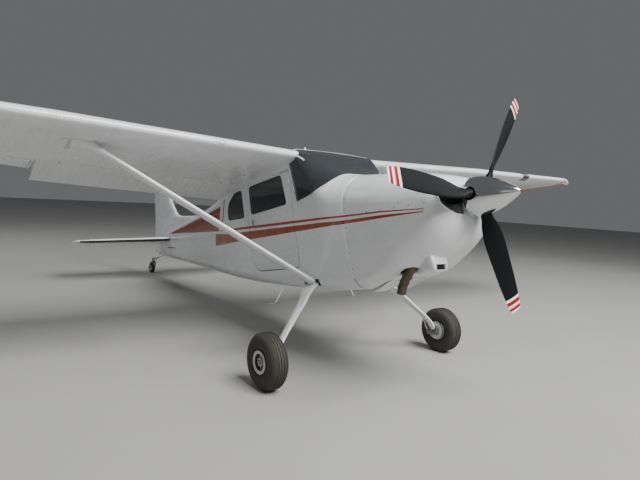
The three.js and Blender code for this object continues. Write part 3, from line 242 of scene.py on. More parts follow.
def tidy_normals(piece, merge=0.00002):
    only(piece)
    bpy.ops.object.mode_set(mode="EDIT")
    bpy.ops.mesh.select_all(action="SELECT")
    bpy.ops.mesh.remove_doubles(threshold=merge)
    bpy.ops.mesh.normals_make_consistent(inside=False)
    bpy.ops.object.mode_set(mode="OBJECT")
    return piece


def loft(name, rings, caps=True, closed=False):
    """One skin through rings of equally many points."""
    count, rows = len(rings[0]), len(rings)
    faces = []
    for row in range(rows if closed else rows - 1):
        a, b = row * count, ((row + 1) % rows) * count
        faces += [(a + i, a + (i + 1) % count, b + (i + 1) % count, b + i) for i in range(count)]
    if caps and not closed:
        faces += [tuple(range(count)), tuple(range(count * (rows - 1), count * rows))]
    return tidy_normals(mesh_piece(name, [p for ring in rings for p in ring], faces))


def fuselage_body(name, x0, x1, grow=0.0, ends=0.0):
    xs = stations(x0, x1)
    rings = []
    for i, x in enumerate(xs):
        ring = fuselage_ring(x, grow)
        shift = ends if i == 0 else -ends if i == len(xs) - 1 else 0
        rings.append([p + Vector((shift * MM, 0, 0)) for p in ring])
    return loft(name, rings)


def prism(name, outline, y0, y1, steps=6):
    """A cutter through Y with the side-view outline."""
    flat = rounded(outline, steps)
    rings = [[Vector((p.x, y, p.y)) * MM for p in flat] for y in (y0, y1)]
    return loft(name, rings)


def plan_prism(name, corners, z0, z1):
    rings = [[Vector((x, y, z)) * MM for x, y in corners] for z in (z0, z1)]
    return loft(name, rings)


def block(name, x0, x1, y0, y1, z0, z1):
    bpy.ops.object.select_all(action="DESELECT")
    bpy.ops.mesh.primitive_cube_add(size=1, location=Vector((x0 + x1, y0 + y1, z0 + z1)) * MM / 2)
    piece = bpy.context.object
    piece.name = name
    piece.scale = Vector((x1 - x0, y1 - y0, z1 - z0)) * MM
    bpy.ops.object.transform_apply(location=True, rotation=False, scale=True)
    return piece


def rod(name, a, b, radius, facets=24, end_radius=None):
    """A round bar between two points."""
    a, b = Vector(a) * MM, Vector(b) * MM
    along = b - a
    bpy.ops.object.select_all(action="DESELECT")
    bpy.ops.mesh.primitive_cone_add(vertices=facets, radius1=radius * MM,
                                    radius2=(end_radius or radius) * MM,
                                    depth=along.length, location=(a + b) / 2)
    piece = bpy.context.object
    piece.name = name
    piece.rotation_mode = "QUATERNION"
    piece.rotation_quaternion = along.to_track_quat("Z", "Y")
    bpy.ops.object.transform_apply(location=True, rotation=True, scale=True)
    return piece


def boolean(piece, tool, operation="DIFFERENCE", keep=False):
    step = piece.modifiers.new("cut", "BOOLEAN")
    step.operation = operation
    step.solver = "EXACT"
    step.object = tool
    only(piece)
    bpy.ops.object.modifier_apply(modifier=step.name)
    if not keep:
        bpy.data.objects.remove(tool)
    return piece


def duplicate(piece, name):
    copy = piece.copy()
    copy.data = piece.data.copy()
    copy.name = name
    bpy.context.scene.collection.objects.link(copy)
    return copy


def mirrored(piece, name):
    """The same piece on the other side."""
    copy = duplicate(piece, name)
    copy.data.transform(Matrix.Scale(-1, 4, (0, 1, 0)))
    copy.data.flip_normals()
    return copy


def merged(name, *pieces):
    only(*pieces)
    if len(pieces) > 1:
        bpy.ops.object.join()
    joined = bpy.context.view_layer.objects.active
    joined.name = name
    joined.data.name = name
    return joined


def bevel(piece, width, segments=2, angle=35):
    step = piece.modifiers.new("round", "BEVEL")
    step.width = width * MM
    step.segments = segments
    step.limit_method = "ANGLE"
    step.angle_limit = math.radians(angle)
    only(piece)
    bpy.ops.object.modifier_apply(modifier=step.name)
    return piece


def smooth(piece, angle=32):
    only(piece)
    bpy.ops.object.shade_smooth_by_angle(angle=math.radians(angle))
    return piece


def squared(value):
    """A sine or cosine pushed outwards, which makes a rounded square of a circle."""
    return math.copysign(abs(value) ** 0.6, value)


def moved(piece, matrix):
    piece.data.transform(matrix)
    return piece


def turned(piece, pivot, degrees, axis):
    """Turns a piece about an axis through a pivot in metres."""
    turn = Matrix.Translation(pivot) @ Matrix.Rotation(math.radians(degrees), 4, axis)
    return moved(piece, turn @ Matrix.Translation(-pivot))


def finish(piece, body, material, stands_for=None, angle=32):
    """Puts a finished piece on its body with its material; stands_for is the CAD node that it replaces."""
    piece.data.transform(LEVEL)
    piece.data.materials.clear()
    piece.data.materials.append(MATERIALS[material])
    smooth(piece, angle)
    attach(piece, body)
    if stands_for:
        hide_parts(stands_for)
    return piece


def both_sides(piece, name, body, material, stands_for="", angle=32):
    """Finishes a left piece and its mirror image; body and stands_for hold {} for the side."""
    pieces = {"left": piece, "right": mirrored(piece, name.format("right"))}
    piece.name = name.format("left")
    for side, one in pieces.items():
        finish(one, body.format(side), material, stands_for.format(side), angle)


def spun(name, profile, centre, axis, steps=64):
    """A turned shape: profile pairs are (radius, place along the axis) in millimetres, in a closed row."""
    axis = Vector(axis).normalized()
    aside = axis.orthogonal().normalized()
    centre = Vector(centre) * MM
    points = [centre + (aside * r + axis * a) * MM for r, a in profile]
    mesh = bpy.data.meshes.new(name)
    mesh.from_pydata([tuple(p) for p in points], [(i, i + 1) for i in range(len(points) - 1)], [])
    piece = bpy.data.objects.new(name, mesh)
    bpy.context.scene.collection.objects.link(piece)
    only(piece)
    bpy.ops.object.mode_set(mode="EDIT")
    bpy.ops.mesh.select_all(action="SELECT")
    bpy.ops.mesh.spin(steps=steps, angle=2 * math.pi, center=centre, axis=axis)
    bpy.ops.mesh.select_all(action="SELECT")
    bpy.ops.mesh.remove_doubles(threshold=0.00003)
    bpy.ops.mesh.normals_make_consistent(inside=False)
    bpy.ops.object.mode_set(mode="OBJECT")
    return piece


def tube(name, points, radius, facets=10, radii=None):
    """A round tube along level points, with a smooth path."""
    path = [Vector(p) * MM for p in points]
    rings = []
    side = None
    for i, p in enumerate(path):
        along = (path[min(i + 1, len(path) - 1)] - path[max(i - 1, 0)]).normalized()
        side = along.orthogonal() if side is None else side - along * side.dot(along)
        side.normalize()
        up = along.cross(side)
        r = (radii[i] if radii else radius) * MM
        rings.append([p + (side * math.cos(a) + up * math.sin(a)) * r
                      for a in (2 * math.pi * k / facets for k in range(facets))])
    return loft(name, rings)


def curve_points(points, steps=6):
    """A smooth path through the points."""
    p = [Vector(q) for q in points]
    p = [p[0] * 2 - p[1], *p, p[-1] * 2 - p[-2]]
    path = []
    for i in range(1, len(p) - 2):
        for k in range(steps):
            t = k / steps
            path.append(0.5 * (2 * p[i] + (p[i + 1] - p[i - 1]) * t
                               + (2 * p[i - 1] - 5 * p[i] + 4 * p[i + 1] - p[i + 2]) * t**2
                               + (3 * p[i] - p[i - 1] - 3 * p[i + 1] + p[i + 2]) * t**3))
    return path + [p[-2]]


def domes(name, spots, radius, height, facets=6):
    """Low round heads, such as rivets: spots are (point, normal) in metres."""
    points, faces = [], []
    for spot, normal in spots:
        side = normal.orthogonal().normalized()
        up = normal.cross(side)
        start = len(points)
        for r, h in ((radius, -0.4), (radius * 0.9, height * 0.55), (radius * 0.5, height)):
            points += [spot + (side * math.cos(a) + up * math.sin(a)) * r * MM + normal * h * MM
                       for a in (2 * math.pi * k / facets for k in range(facets))]
        for row in range(2):
            a, b = start + row * facets, start + (row + 1) * facets
            faces += [(a + i, a + (i + 1) % facets, b + (i + 1) % facets, b + i) for i in range(facets)]
        faces.append(tuple(start + 2 * facets + i for i in range(facets)))
        faces.append(tuple(start + i for i in range(facets - 1, -1, -1)))
    return mesh_piece(name, points, faces)


# Material helpers
def srgb(code):
    """Linear colour from a web colour."""
    parts = [int(code[i:i + 2], 16) / 255 for i in (0, 2, 4)]
    return tuple(c / 12.92 if c <= 0.04045 else ((c + 0.055) / 1.055) ** 2.4 for c in parts) + (1.0,)


class Graph:
    """Adds nodes to one tree and joins them."""

    def __init__(self, tree):
        self.tree = tree

    def node(self, kind, **values):
        made = self.tree.nodes.new(kind)
        for name, value in values.items():
            setattr(made, name, value)
        return made

    def feed(self, socket, value):
        if isinstance(value, bpy.types.NodeSocket):
            self.tree.links.new(value, socket)
        else:
            socket.default_value = value

    def math(self, operation, a, b=0.0, c=0.0, clamp=False):
        made = self.node("ShaderNodeMath", operation=operation, use_clamp=clamp)
        for socket, value in zip(made.inputs, (a, b, c)):
            self.feed(socket, value)
        return made.outputs[0]

    def vector(self, operation, a, b=(0, 0, 0), scale=1.0):
        made = self.node("ShaderNodeVectorMath", operation=operation)
        self.feed(made.inputs[0], a)
        self.feed(made.inputs[1], b)
        if operation == "SCALE":
            self.feed(made.inputs["Scale"], scale)
        return made.outputs["Value" if operation in ("LENGTH", "DOT_PRODUCT", "DISTANCE") else "Vector"]

    def span(self, value, low, high, first=0.0, last=1.0, kind="SMOOTHSTEP"):
        """The value's place between low and high, from first to last."""
        made = self.node("ShaderNodeMapRange", interpolation_type=kind)
        for name, number in (("Value", value), ("From Min", low), ("From Max", high), ("To Min", first),
                             ("To Max", last)):
            self.feed(made.inputs[name], number)
        return made.outputs["Result"]

    def mix(self, factor, a, b, blend="MIX"):
        made = self.node("ShaderNodeMix", data_type="RGBA", blend_type=blend)
        self.feed(made.inputs[0], factor)
        self.feed(made.inputs[6], a)
        self.feed(made.inputs[7], b)
        return made.outputs[2]

    def noise(self, place, scale, detail=3.0, roughness=0.5):
        made = self.node("ShaderNodeTexNoise")
        self.feed(made.inputs["Vector"], place)
        for name, value in (("Scale", scale), ("Detail", detail), ("Roughness", roughness)):
            made.inputs[name].default_value = value
        return made.outputs["Fac"]

    def stretch(self, place, scale):
        made = self.node("ShaderNodeMapping")
        self.feed(made.inputs["Vector"], place)
        made.inputs["Scale"].default_value = scale
        return made.outputs["Vector"]

    def profile(self, value, points):
        """A broken line through the points, read at the value."""
        xs, ys = [p[0] for p in points], [p[1] for p in points]
        low, high = min(ys), max(ys)
        share = self.span(value, xs[0], xs[-1], kind="LINEAR")
        made = self.node("ShaderNodeFloatCurve")
        curve = made.mapping.curves[0]
        scaled = [((x - xs[0]) / (xs[-1] - xs[0]), (y - low) / max(high - low, 1e-6)) for x, y in points]
        curve.points[0].location, curve.points[1].location = scaled[0], scaled[-1]
        for spot in scaled[1:-1]:
            curve.points.new(*spot)
        for point in curve.points:
            point.handle_type = "VECTOR"
        made.mapping.update()
        self.feed(made.inputs["Value"], share)
        return self.span(made.outputs[0], 0.0, 1.0, low, high, kind="LINEAR")

    def within(self, value, low, high, edge=0.0015):
        """1 where the value lies between low and high."""
        above = self.math("MULTIPLY", self.math("SUBTRACT", value, low), 1 / edge, clamp=True)
        below = self.math("MULTIPLY", self.math("SUBTRACT", high, value), 1 / edge, clamp=True)
        return self.math("MULTIPLY", above, below)

    def most(self, *values):
        result = values[0]
        for value in values[1:]:
            result = self.math("MAXIMUM", result, value)
        return result

    def near(self, value, places, half):
        """1 on thin lines where the value equals one of the places."""
        return self.most(*[self.math("SUBTRACT", 1.0, self.math("MULTIPLY", self.math(
            "ABSOLUTE", self.math("SUBTRACT", value, p)), 1 / half), clamp=True) for p in places])


def group(name, inputs, outputs, build):
    """A shared node group; build gets the graph and its named inputs and gives the outputs back in order."""
    tree = bpy.data.node_groups.new(name, "ShaderNodeTree")
    for label, kind, value in inputs:
        socket = tree.interface.new_socket(name=label, in_out="INPUT", socket_type=kind)
        if value is not None:
            socket.default_value = value
    for label, kind in outputs:
        tree.interface.new_socket(name=label, in_out="OUTPUT", socket_type=kind)
    graph = Graph(tree)
    source, target = graph.node("NodeGroupInput"), graph.node("NodeGroupOutput")
    for socket, value in zip(target.inputs, build(graph, source.outputs)):
        graph.feed(socket, value)
    return tree


def build_level_axes(graph, _):
    """Object coordinates turned back to the level airframe, in metres."""
    place = graph.node("ShaderNodeMapping")
    graph.feed(place.inputs["Vector"], graph.node("ShaderNodeTexCoord").outputs["Object"])
    place.inputs["Rotation"].default_value = (0, PITCH, 0)
    back = LEVEL.inverted()
    place.inputs["Location"].default_value = back.to_translation()
    parts = graph.node("ShaderNodeSeparateXYZ")
    graph.feed(parts.inputs[0], place.outputs[0])
    return [place.outputs[0], parts.outputs[0], parts.outputs[1], parts.outputs[2]]


def build_soil(graph, given):
    """Patchy dirt that runs in streaks along the airflow."""
    streaks = graph.noise(graph.stretch(given["Place"], (0.3, 10.0, 10.0)), 3.0, 5.0, 0.6)
    patches = graph.noise(graph.stretch(given["Place"], (0.5, 1.0, 1.0)), 14.0, 6.0, 0.6)
    both = graph.math("MULTIPLY", streaks, patches)
    return [graph.span(both, 0.22, 0.46)]


def build_scuffs(graph, given):
    """Fine scratches and mottling for roughness."""
    fine = graph.noise(given["Place"], 60.0, 6.0, 0.7)
    long = graph.noise(graph.stretch(given["Place"], (5.0, 60.0, 60.0)), 6.0, 4.0, 0.6)
    return [graph.math("MULTIPLY_ADD", fine, 0.5, graph.math("MULTIPLY", long, 0.5))]


def build_sheet_metal(graph, given):
    """Height of a riveted sheet skin: slow waves between frames and the paint's fine orange peel."""
    waves = graph.noise(graph.stretch(given["Place"], (1.0, 1.0, 1.6)), 3.2, 1.0, 0.4)
    peel = graph.noise(given["Place"], 420.0, 2.0, 0.5)
    return [graph.math("MULTIPLY_ADD", waves, 1.0, graph.math("MULTIPLY", peel, 0.02))]


def build_grain(graph, given):
    """A close leather-like or moulded grain."""
    cells = graph.node("ShaderNodeTexVoronoi", feature="SMOOTH_F1")
    graph.feed(cells.inputs["Vector"], given["Place"])
    cells.inputs["Scale"].default_value = 420.0
    return [graph.math("MULTIPLY_ADD", cells.outputs["Distance"], 0.7,
                       graph.math("MULTIPLY", graph.noise(given["Place"], 900.0), 0.3))]


def build_weave(graph, given):
    """Height of a plain woven cloth, from two crossed waves."""
    parts = graph.node("ShaderNodeSeparateXYZ")
    graph.feed(parts.inputs[0], graph.vector("SCALE", given["Place"], scale=2 * math.pi * 380))
    across = graph.math("SINE", parts.outputs[1])
    along = graph.math("SINE", graph.math("ADD", parts.outputs[0], parts.outputs[2]))
    return [graph.math("MULTIPLY_ADD", graph.math("MULTIPLY", across, along), 0.5, 0.5)]


GROUPS = {}


def make_groups():
    vector, value = "NodeSocketVector", "NodeSocketFloat"
    GROUPS["level"] = group("Level axes", [], [("Place", vector), ("X", value), ("Y", value), ("Z", value)],
                            build_level_axes)
    for key, label, build in (("soil", "Soil", build_soil), ("scuffs", "Scuffs", build_scuffs),
                              ("sheet", "Sheet metal", build_sheet_metal),
                              ("grain", "Moulded grain", build_grain), ("weave", "Weave", build_weave)):
        GROUPS[key] = group(label, [("Place", vector, None)], [("Value", value)], build)


class Finish:
    """One material: its graph, its shader and the shared effects."""

    def __init__(self, name, colour, roughness=0.4, metallic=0.0, **sockets):
        self.material = bpy.data.materials.new(name)
        self.material.use_nodes = True
        self.graph = Graph(self.material.node_tree)
        self.shader = self.material.node_tree.nodes["Principled BSDF"]
        self.shader.inputs["Base Color"].default_value = colour
        self.shader.inputs["Roughness"].default_value = roughness
        self.shader.inputs["Metallic"].default_value = metallic
        for label, value in sockets.items():
            self.shader.inputs[label.replace("_", " ")].default_value = value
        level = self.graph.node("ShaderNodeGroup", node_tree=GROUPS["level"])
        self.place, self.x, self.y, self.z = level.outputs

    def effect(self, key):
        made = self.graph.node("ShaderNodeGroup", node_tree=GROUPS[key])
        self.graph.feed(made.inputs["Place"], self.place)
        return made.outputs[0]

    def colour(self, value):
        self.graph.feed(self.shader.inputs["Base Color"], value)

    def rough(self, value):
        self.graph.feed(self.shader.inputs["Roughness"], value)

    def bump(self, height, strength, distance):
        """A bump that adds to what the normal already has."""
        made = self.graph.node("ShaderNodeBump")
        made.inputs["Strength"].default_value = strength
        made.inputs["Distance"].default_value = distance
        self.graph.feed(made.inputs["Height"], height)
        before = self.shader.inputs["Normal"].links
        if before:
            self.graph.feed(made.inputs["Normal"], before[0].from_socket)
        self.graph.feed(self.shader.inputs["Normal"], made.outputs[0])


# Fuselage colour scheme in level metres: x with the lower and upper edge of each band
THIN_STRIPE = [(-2.30, 1.400, 1.432), (-2.20, 1.398, 1.424), (-1.87, 1.362, 1.388), (-1.60, 1.347, 1.374),
               (-1.14, 1.315, 1.343),
               (-0.45, 1.275, 1.299), (0.28, 1.233, 1.249), (0.77, 1.208, 1.219), (1.19, 1.173, 1.177)]
WIDE_STRIPE = [(-2.56, 1.232, 1.397), (-2.06, 1.222, 1.341), (-1.16, 1.200, 1.287), (-0.46, 1.187, 1.248),
               (0.28, 1.170, 1.204),
               (0.77, 1.160, 1.185), (1.00, 1.155, 1.169), (1.23, 1.150, 1.155)]
WEDGE = [(-4.86, 1.662, 1.666), (-4.09, 1.591, 1.690), (-3.41, 1.520, 1.708), (-2.79, 1.455, 1.717),
         (-2.12, 1.385, 1.722)]
UPRIGHT = [(1.40, -2.268), (1.58, -2.145), (1.70, -2.084), (1.80, -2.040)]
SKIN_SEAMS_X = (-1.42, -2.30, -2.86, -3.44, -4.02, -4.60, -5.10)


def tip_band(finish_):
    """The lower edge of a wing tip, from just behind its nose to the trailing edge."""
    g = finish_.graph
    height = g.math("MULTIPLY_ADD", g.math("ABSOLUTE", finish_.y), WING["rise"], WING["lead_z"] * MM + 0.006)
    nose = (WING["lead_x"] - WING["sweep"]) * MM - 0.09
    return g.math("MULTIPLY", g.within(finish_.z, 0.0, height), g.within(finish_.x, -9.0, nose))


def stripe_masks(finish_):
    """Where the fuselage carries its orange-brown bands, their dark edges and the thin stripe."""
    g, x, z = finish_.graph, finish_.x, finish_.z
    def band(rows, trim, *ends):
        low = g.profile(x, [(r[0], r[1]) for r in rows])
        high = g.profile(x, [(r[0], r[2]) for r in rows])
        return g.math("MULTIPLY", g.within(z, g.math("ADD", low, trim), g.math("SUBTRACT", high, trim)),
                      g.within(x, *ends))
    wide_left = g.math("MULTIPLY_ADD", g.math("SUBTRACT", z, 1.232), 0.36, -2.545)
    wedge_right = g.math("MULTIPLY_ADD", g.math("SUBTRACT", z, 1.41), 0.56, -2.354)
    left = g.profile(z, UPRIGHT)
    bar = g.math("MULTIPLY", g.within(x, left, g.math("ADD", left, 0.038)), g.within(z, 1.41, 1.79))
    outer = g.most(band(THIN_STRIPE, -0.002, -2.245, 1.18), band(WIDE_STRIPE, -0.001, wide_left, 1.17),
                   band(WEDGE, 0.0, -5.2, wedge_right), bar)
    inner = g.most(band(WIDE_STRIPE, 0.0075, g.math("ADD", wide_left, 0.007), 2.0),
                   band(WEDGE, 0.006, -5.2, g.math("SUBTRACT", wedge_right, 0.007)),
                   g.math("MULTIPLY", g.within(x, g.math("ADD", left, 0.006), g.math("ADD", left, 0.032)),
                          g.within(z, 1.416, 1.784)))
    return outer, inner


def paint(name, colours, stripes=False, seams_x=(), seams_y=(), soil=0.14, waves=0.35, patches=None):
    """Gloss paint on sheet metal, with skin laps, dirt in the airflow and, on the fuselage, the bands."""
    f = Finish(name, tuple(colours.paint) + (1.0,), 0.3, 0.0, Coat_Weight=0.35, Coat_Roughness=0.08)
    g = f.graph
    shade = g.noise(f.place, 1.6, 3.0, 0.5)
    white = g.mix(g.span(shade, 0.35, 0.65), tuple(colours.paint) + (1.0,),
                  tuple(c * 0.94 for c in colours.paint) + (1.0,))
    if stripes:
        fade = g.noise(f.place, 2.5, 3.0, 0.5)
        band = g.mix(g.span(fade, 0.3, 0.7), tuple(colours.band) + (1.0,),
                     tuple(c * 0.88 for c in colours.band) + (1.0,))
        outer, inner = stripe_masks(f)
        white = g.mix(inner, g.mix(outer, white, tuple(colours.edge) + (1.0,)), band)
    for mask, colour in (patches(f) if patches else ()):
        white = g.mix(mask, white, colour)
    lines = []
    if seams_x:
        lines.append(g.near(f.x, seams_x, 0.0022))
    if seams_y:
        lines.append(g.near(g.math("ABSOLUTE", f.y), seams_y, 0.0022))
    dirt = g.math("MULTIPLY", f.effect("soil"), soil)
    toned = g.mix(dirt, white, tuple(colours.soil) + (1.0,))
    if stripes:
        toned = g.mix(g.math("MULTIPLY", outer, 0.7), toned, white)
    if lines:
        laps = g.most(*lines)
        toned = g.mix(g.math("MULTIPLY", laps, 0.55), toned, srgb("5c5a57"))
        f.bump(g.math("SUBTRACT", 1.0, laps), 0.5, 0.001)
    f.colour(toned)
    f.rough(g.math("MULTIPLY_ADD", f.effect("scuffs"), 0.14, g.math("MULTIPLY_ADD", dirt, 0.3, 0.2)))
    f.bump(f.effect("sheet"), waves, 0.004)
    return f.material


def metal(name, colour, roughness=0.3, worn=0.2, metallic=1.0, dark="4a4846"):
    """Bare metal with handling marks and dull patches."""
    f = Finish(name, colour, roughness, metallic)
    g = f.graph
    dull = g.math("MULTIPLY", f.effect("soil"), worn)
    f.colour(g.mix(dull, colour, srgb(dark)))
    f.rough(g.math("MULTIPLY_ADD", f.effect("scuffs"), 0.22,
                   g.math("MULTIPLY_ADD", dull, 0.3, max(roughness - 0.12, 0.02))))
    f.bump(f.effect("scuffs"), 0.06, 0.0004)
    return f.material


def rubber(name, colours, dusty=0.16):
    f = Finish(name, tuple(colours.rubber) + (1.0,), 0.78)
    g = f.graph
    dust = g.math("MULTIPLY_ADD", g.span(g.noise(f.place, 26.0, 6.0, 0.65), 0.3, 0.75), dusty * 0.5,
                  dusty * 0.5)
    f.colour(g.mix(dust, tuple(colours.rubber) + (1.0,), srgb("6f675c")))
    f.rough(g.math("MULTIPLY_ADD", f.effect("scuffs"), 0.2, 0.66))
    f.bump(g.noise(f.place, 600.0, 3.0), 0.15, 0.0006)
    return f.material


def plastic(name, colour, roughness=0.5, grain=0.25):
    f = Finish(name, colour, roughness)
    g = f.graph
    f.colour(g.mix(g.span(g.noise(f.place, 18.0, 5.0), 0.3, 0.75), colour,
                   tuple(c * 0.72 for c in colour[:3]) + (1.0,)))
    f.rough(g.math("MULTIPLY_ADD", f.effect("scuffs"), 0.2, max(roughness - 0.1, 0.05)))
    f.bump(f.effect("grain"), grain, 0.0008)
    return f.material


def cloth(name, colour, sheen=0.4, streak=0.35):
    f = Finish(name, colour, 0.88, 0.0, Sheen_Weight=sheen, Sheen_Roughness=0.5)
    g = f.graph
    weave = f.effect("weave")
    tone = g.mix(g.span(g.noise(f.place, 30.0, 5.0, 0.6), 0.3, 0.7), colour,
                 tuple(c * (1 - streak) for c in colour[:3]) + (1.0,))
    f.colour(g.mix(g.math("MULTIPLY", weave, 0.25), tone,
                   tuple(min(c * 1.5, 1) for c in colour[:3]) + (1.0,)))
    f.rough(g.math("MULTIPLY_ADD", weave, 0.1, 0.8))
    f.bump(weave, 0.35, 0.0006)
    return f.material


def glass(name, colour, roughness=0.02):
    """Tinted acrylic with faint wiping marks."""
    f = Finish(name, colour, roughness, 0.0, Transmission_Weight=0.9, IOR=1.49, Specular_IOR_Level=0.4)
    g = f.graph
    marks = g.noise(g.stretch(f.place, (3.0, 3.0, 14.0)), 8.0, 5.0, 0.6)
    f.rough(g.span(marks, 0.35, 0.8, roughness, roughness + 0.06))
    f.bump(g.noise(f.place, 1.4, 1.0), 0.05, 0.01)
    return f.material


MATERIALS = {}


def make_materials(colours):
    """Every finish on the aircraft, built once."""
    m = MATERIALS
    m["fuselage"] = paint("Fuselage paint", colours, True, SKIN_SEAMS_X)
    m["cowl"] = paint("Cowling paint", colours, True, waves=0.15)
    m["wing"] = paint("Wing paint", colours, False, (),
                      (0.98, 1.42, 1.86, 2.30, 2.71, 3.14, 3.57, 4.00, 4.43, 4.86, 5.20))
    m["tail"] = paint("Tail paint", colours, False, waves=0.25, soil=0.1)
    m["gear"] = paint("Gear leg paint", colours, False, soil=0.25, waves=0.1)
    m["tip"] = paint("Wing tip paint", colours, False, soil=0.1, waves=0.1,
                     patches=lambda f: [(tip_band(f), tuple(colours.band) + (1.0,))])
    m["flap"] = paint("Control surface paint", colours, False, soil=0.12, waves=0.1)
    # The stabiliser and elevator horns take a black strip under the leading edge, partly an abrasion strip
    # and partly painted shade.
    m["stabiliser"] = paint("Stabiliser paint", colours, False, soil=0.12, waves=0.2,
                            patches=lambda f: [(abrasion_and_shade_mask(f, -0.265, -4.844, 0.0), srgb("1d1e20"))])
    m["elevator"] = paint("Elevator paint", colours, False, soil=0.12, waves=0.1,
                          patches=lambda f: [(abrasion_and_shade_mask(f, 0.0, -5.25, 1.395), srgb("1d1e20"))])
    m["fork"] = metal("Fork steel", srgb("77777a"), 0.45, 0.4)
    m["rim"] = metal("Wheel casting", srgb("c0c2c4"), 0.46, 0.3, 0.5, "5b5650")
    m["glass"] = glass("Tinted glazing", (0.25, 0.28, 0.31, 1.0))
    m["lens"] = glass("Clear lens", (0.92, 0.95, 0.97, 1.0), 0.01)
    m["red_lens"] = glass("Red lens", (0.7, 0.02, 0.02, 1.0), 0.05)
    m["green_lens"] = glass("Green lens", (0.02, 0.45, 0.12, 1.0), 0.05)
    m["alloy"] = metal("Bare alloy", srgb("b9bcc0"), 0.34)
    m["polished"] = metal("Polished alloy", srgb("d6d8da"), 0.16, 0.08)
    m["steel"] = metal("Dull steel", srgb("8a8a88"), 0.42, 0.3)
    m["dark_steel"] = metal("Darkened steel", srgb("3f3e3d"), 0.5, 0.3)
    m["burnt"] = metal("Heat-stained steel", srgb("5d5447"), 0.6, 0.6, 0.6, "2e2822")
    m["tyre"] = rubber("Tyre rubber", colours)
    # Rubber for the window seals; at the gear legs' roots it is painted shade in the slots.
    m["seal"] = rubber("Seal rubber", colours, 0.04)
    # Black plastic for the panel, yokes and compass; on the vent backs, tail slots and intake filter it is
    # also painted shade.
    m["black_plastic_and_shade"] = plastic("Black plastic and painted shade", srgb("17181a"), 0.45)
    m["trim"] = plastic("Cabin trim", tuple(colours.trim) + (1.0,), 0.6)
    m["panel"] = plastic("Panel black", srgb("1c1d1f"), 0.55)
    m["white_plastic"] = plastic("White plastic", srgb("dcdcd8"), 0.4, 0.1)
    m["seat"] = cloth("Seat cloth", tuple(colours.seat) + (1.0,))
    m["belt"] = cloth("Belt webbing", srgb("2b2c30"), 0.2)
    m["carpet"] = cloth("Carpet", srgb("3a3b3e"), 0.6, 0.5)
    m["blade"] = blade_paint()
    m["dial"] = dial_face()


def abrasion_and_shade_mask(f, slope, start, inner):
    """Where the black strip lies under the leading edge of the tailplane: an abrasion strip kept to the lower
    half, so partly painted shade.
    """
    g = f.graph
    out = g.math("ABSOLUTE", f.y)
    ahead = g.within(f.x, g.math("MULTIPLY_ADD", out, slope, start), 0.0)
    return g.math("MULTIPLY", g.math("MULTIPLY", ahead, g.within(out, inner, 1.57)),
                  g.within(f.z, 0.0, TAIL["z"] * MM + 0.004))


def blade_paint():
    """Black blades with white tips that carry two dark-red rings."""
    f = Finish("Blade paint", srgb("0b0d11"), 0.5, 0.0, Specular_IOR_Level=0.16)
    g = f.graph
    hub = Vector((PROP["x"], 0, PROP["z"])) * MM
    tilt = math.radians(PROP["down_thrust"])
    axis = (math.cos(tilt), 0, -math.sin(tilt))
    away = g.vector("SUBTRACT", f.place, tuple(hub))
    radius = g.vector("LENGTH", g.vector("CROSS_PRODUCT", away, axis))
    tip = PROP["radius"] * MM
    white = g.within(radius, tip - 0.128, tip + 0.1, 0.001)
    red = g.most(g.within(radius, tip - 0.104, tip - 0.070, 0.001),
                 g.within(radius, tip - 0.046, tip - 0.019, 0.001))
    worn = g.math("MULTIPLY", g.span(g.noise(f.place, 40.0, 6.0, 0.7), 0.5, 0.75), 0.15)
    black = g.mix(worn, srgb("0b0d11"), srgb("26272a"))
    f.colour(g.mix(red, g.mix(white, black, srgb("ecebe7")), srgb("960d16")))
    f.rough(g.math("MULTIPLY_ADD", f.effect("scuffs"), 0.2, 0.42))
    f.bump(f.effect("scuffs"), 0.08, 0.0005)
    return f.material


def dial_face():
    """Instrument glass over a black face with pale marks."""
    f = Finish("Instrument face", srgb("101112"), 0.2, 0.0, Coat_Weight=0.6, Coat_Roughness=0.03)
    g = f.graph
    marks = g.node("ShaderNodeTexVoronoi")
    g.feed(marks.inputs["Vector"], f.place)
    marks.inputs["Scale"].default_value = 160.0
    f.colour(g.mix(g.math("LESS_THAN", marks.outputs["Distance"], 0.18), srgb("0c0d0e"), srgb("c9cac6")))
    return f.material


# Fuselage
def shell_wall(name, x0, x1, thickness, grow=0.0):
    """The fuselage skin between two stations, open at both ends."""
    outer = fuselage_body(name, x0, x1, grow)
    return boolean(outer, fuselage_body("core", x0, x1, grow - thickness, 20))


def side_cutters(outline, inner=300, outer=700):
    return [prism("cutter", outline, *sorted((s * inner, s * outer))) for s in SIDES.values()]


def outline_band(name, outline, out, inn, proud, y0, y1, x0=150, x1=-2100):
    """A thin strip that follows an opening's edge and stands a little proud of the skin."""
    skin = shell_wall(name, x0, x1, proud + 1.5, proud)
    boolean(skin, prism("edge", inset(outline, -out), y0, y1), "INTERSECT")
    return boolean(skin, prism("hole", inset(outline, inn), y0, y1))


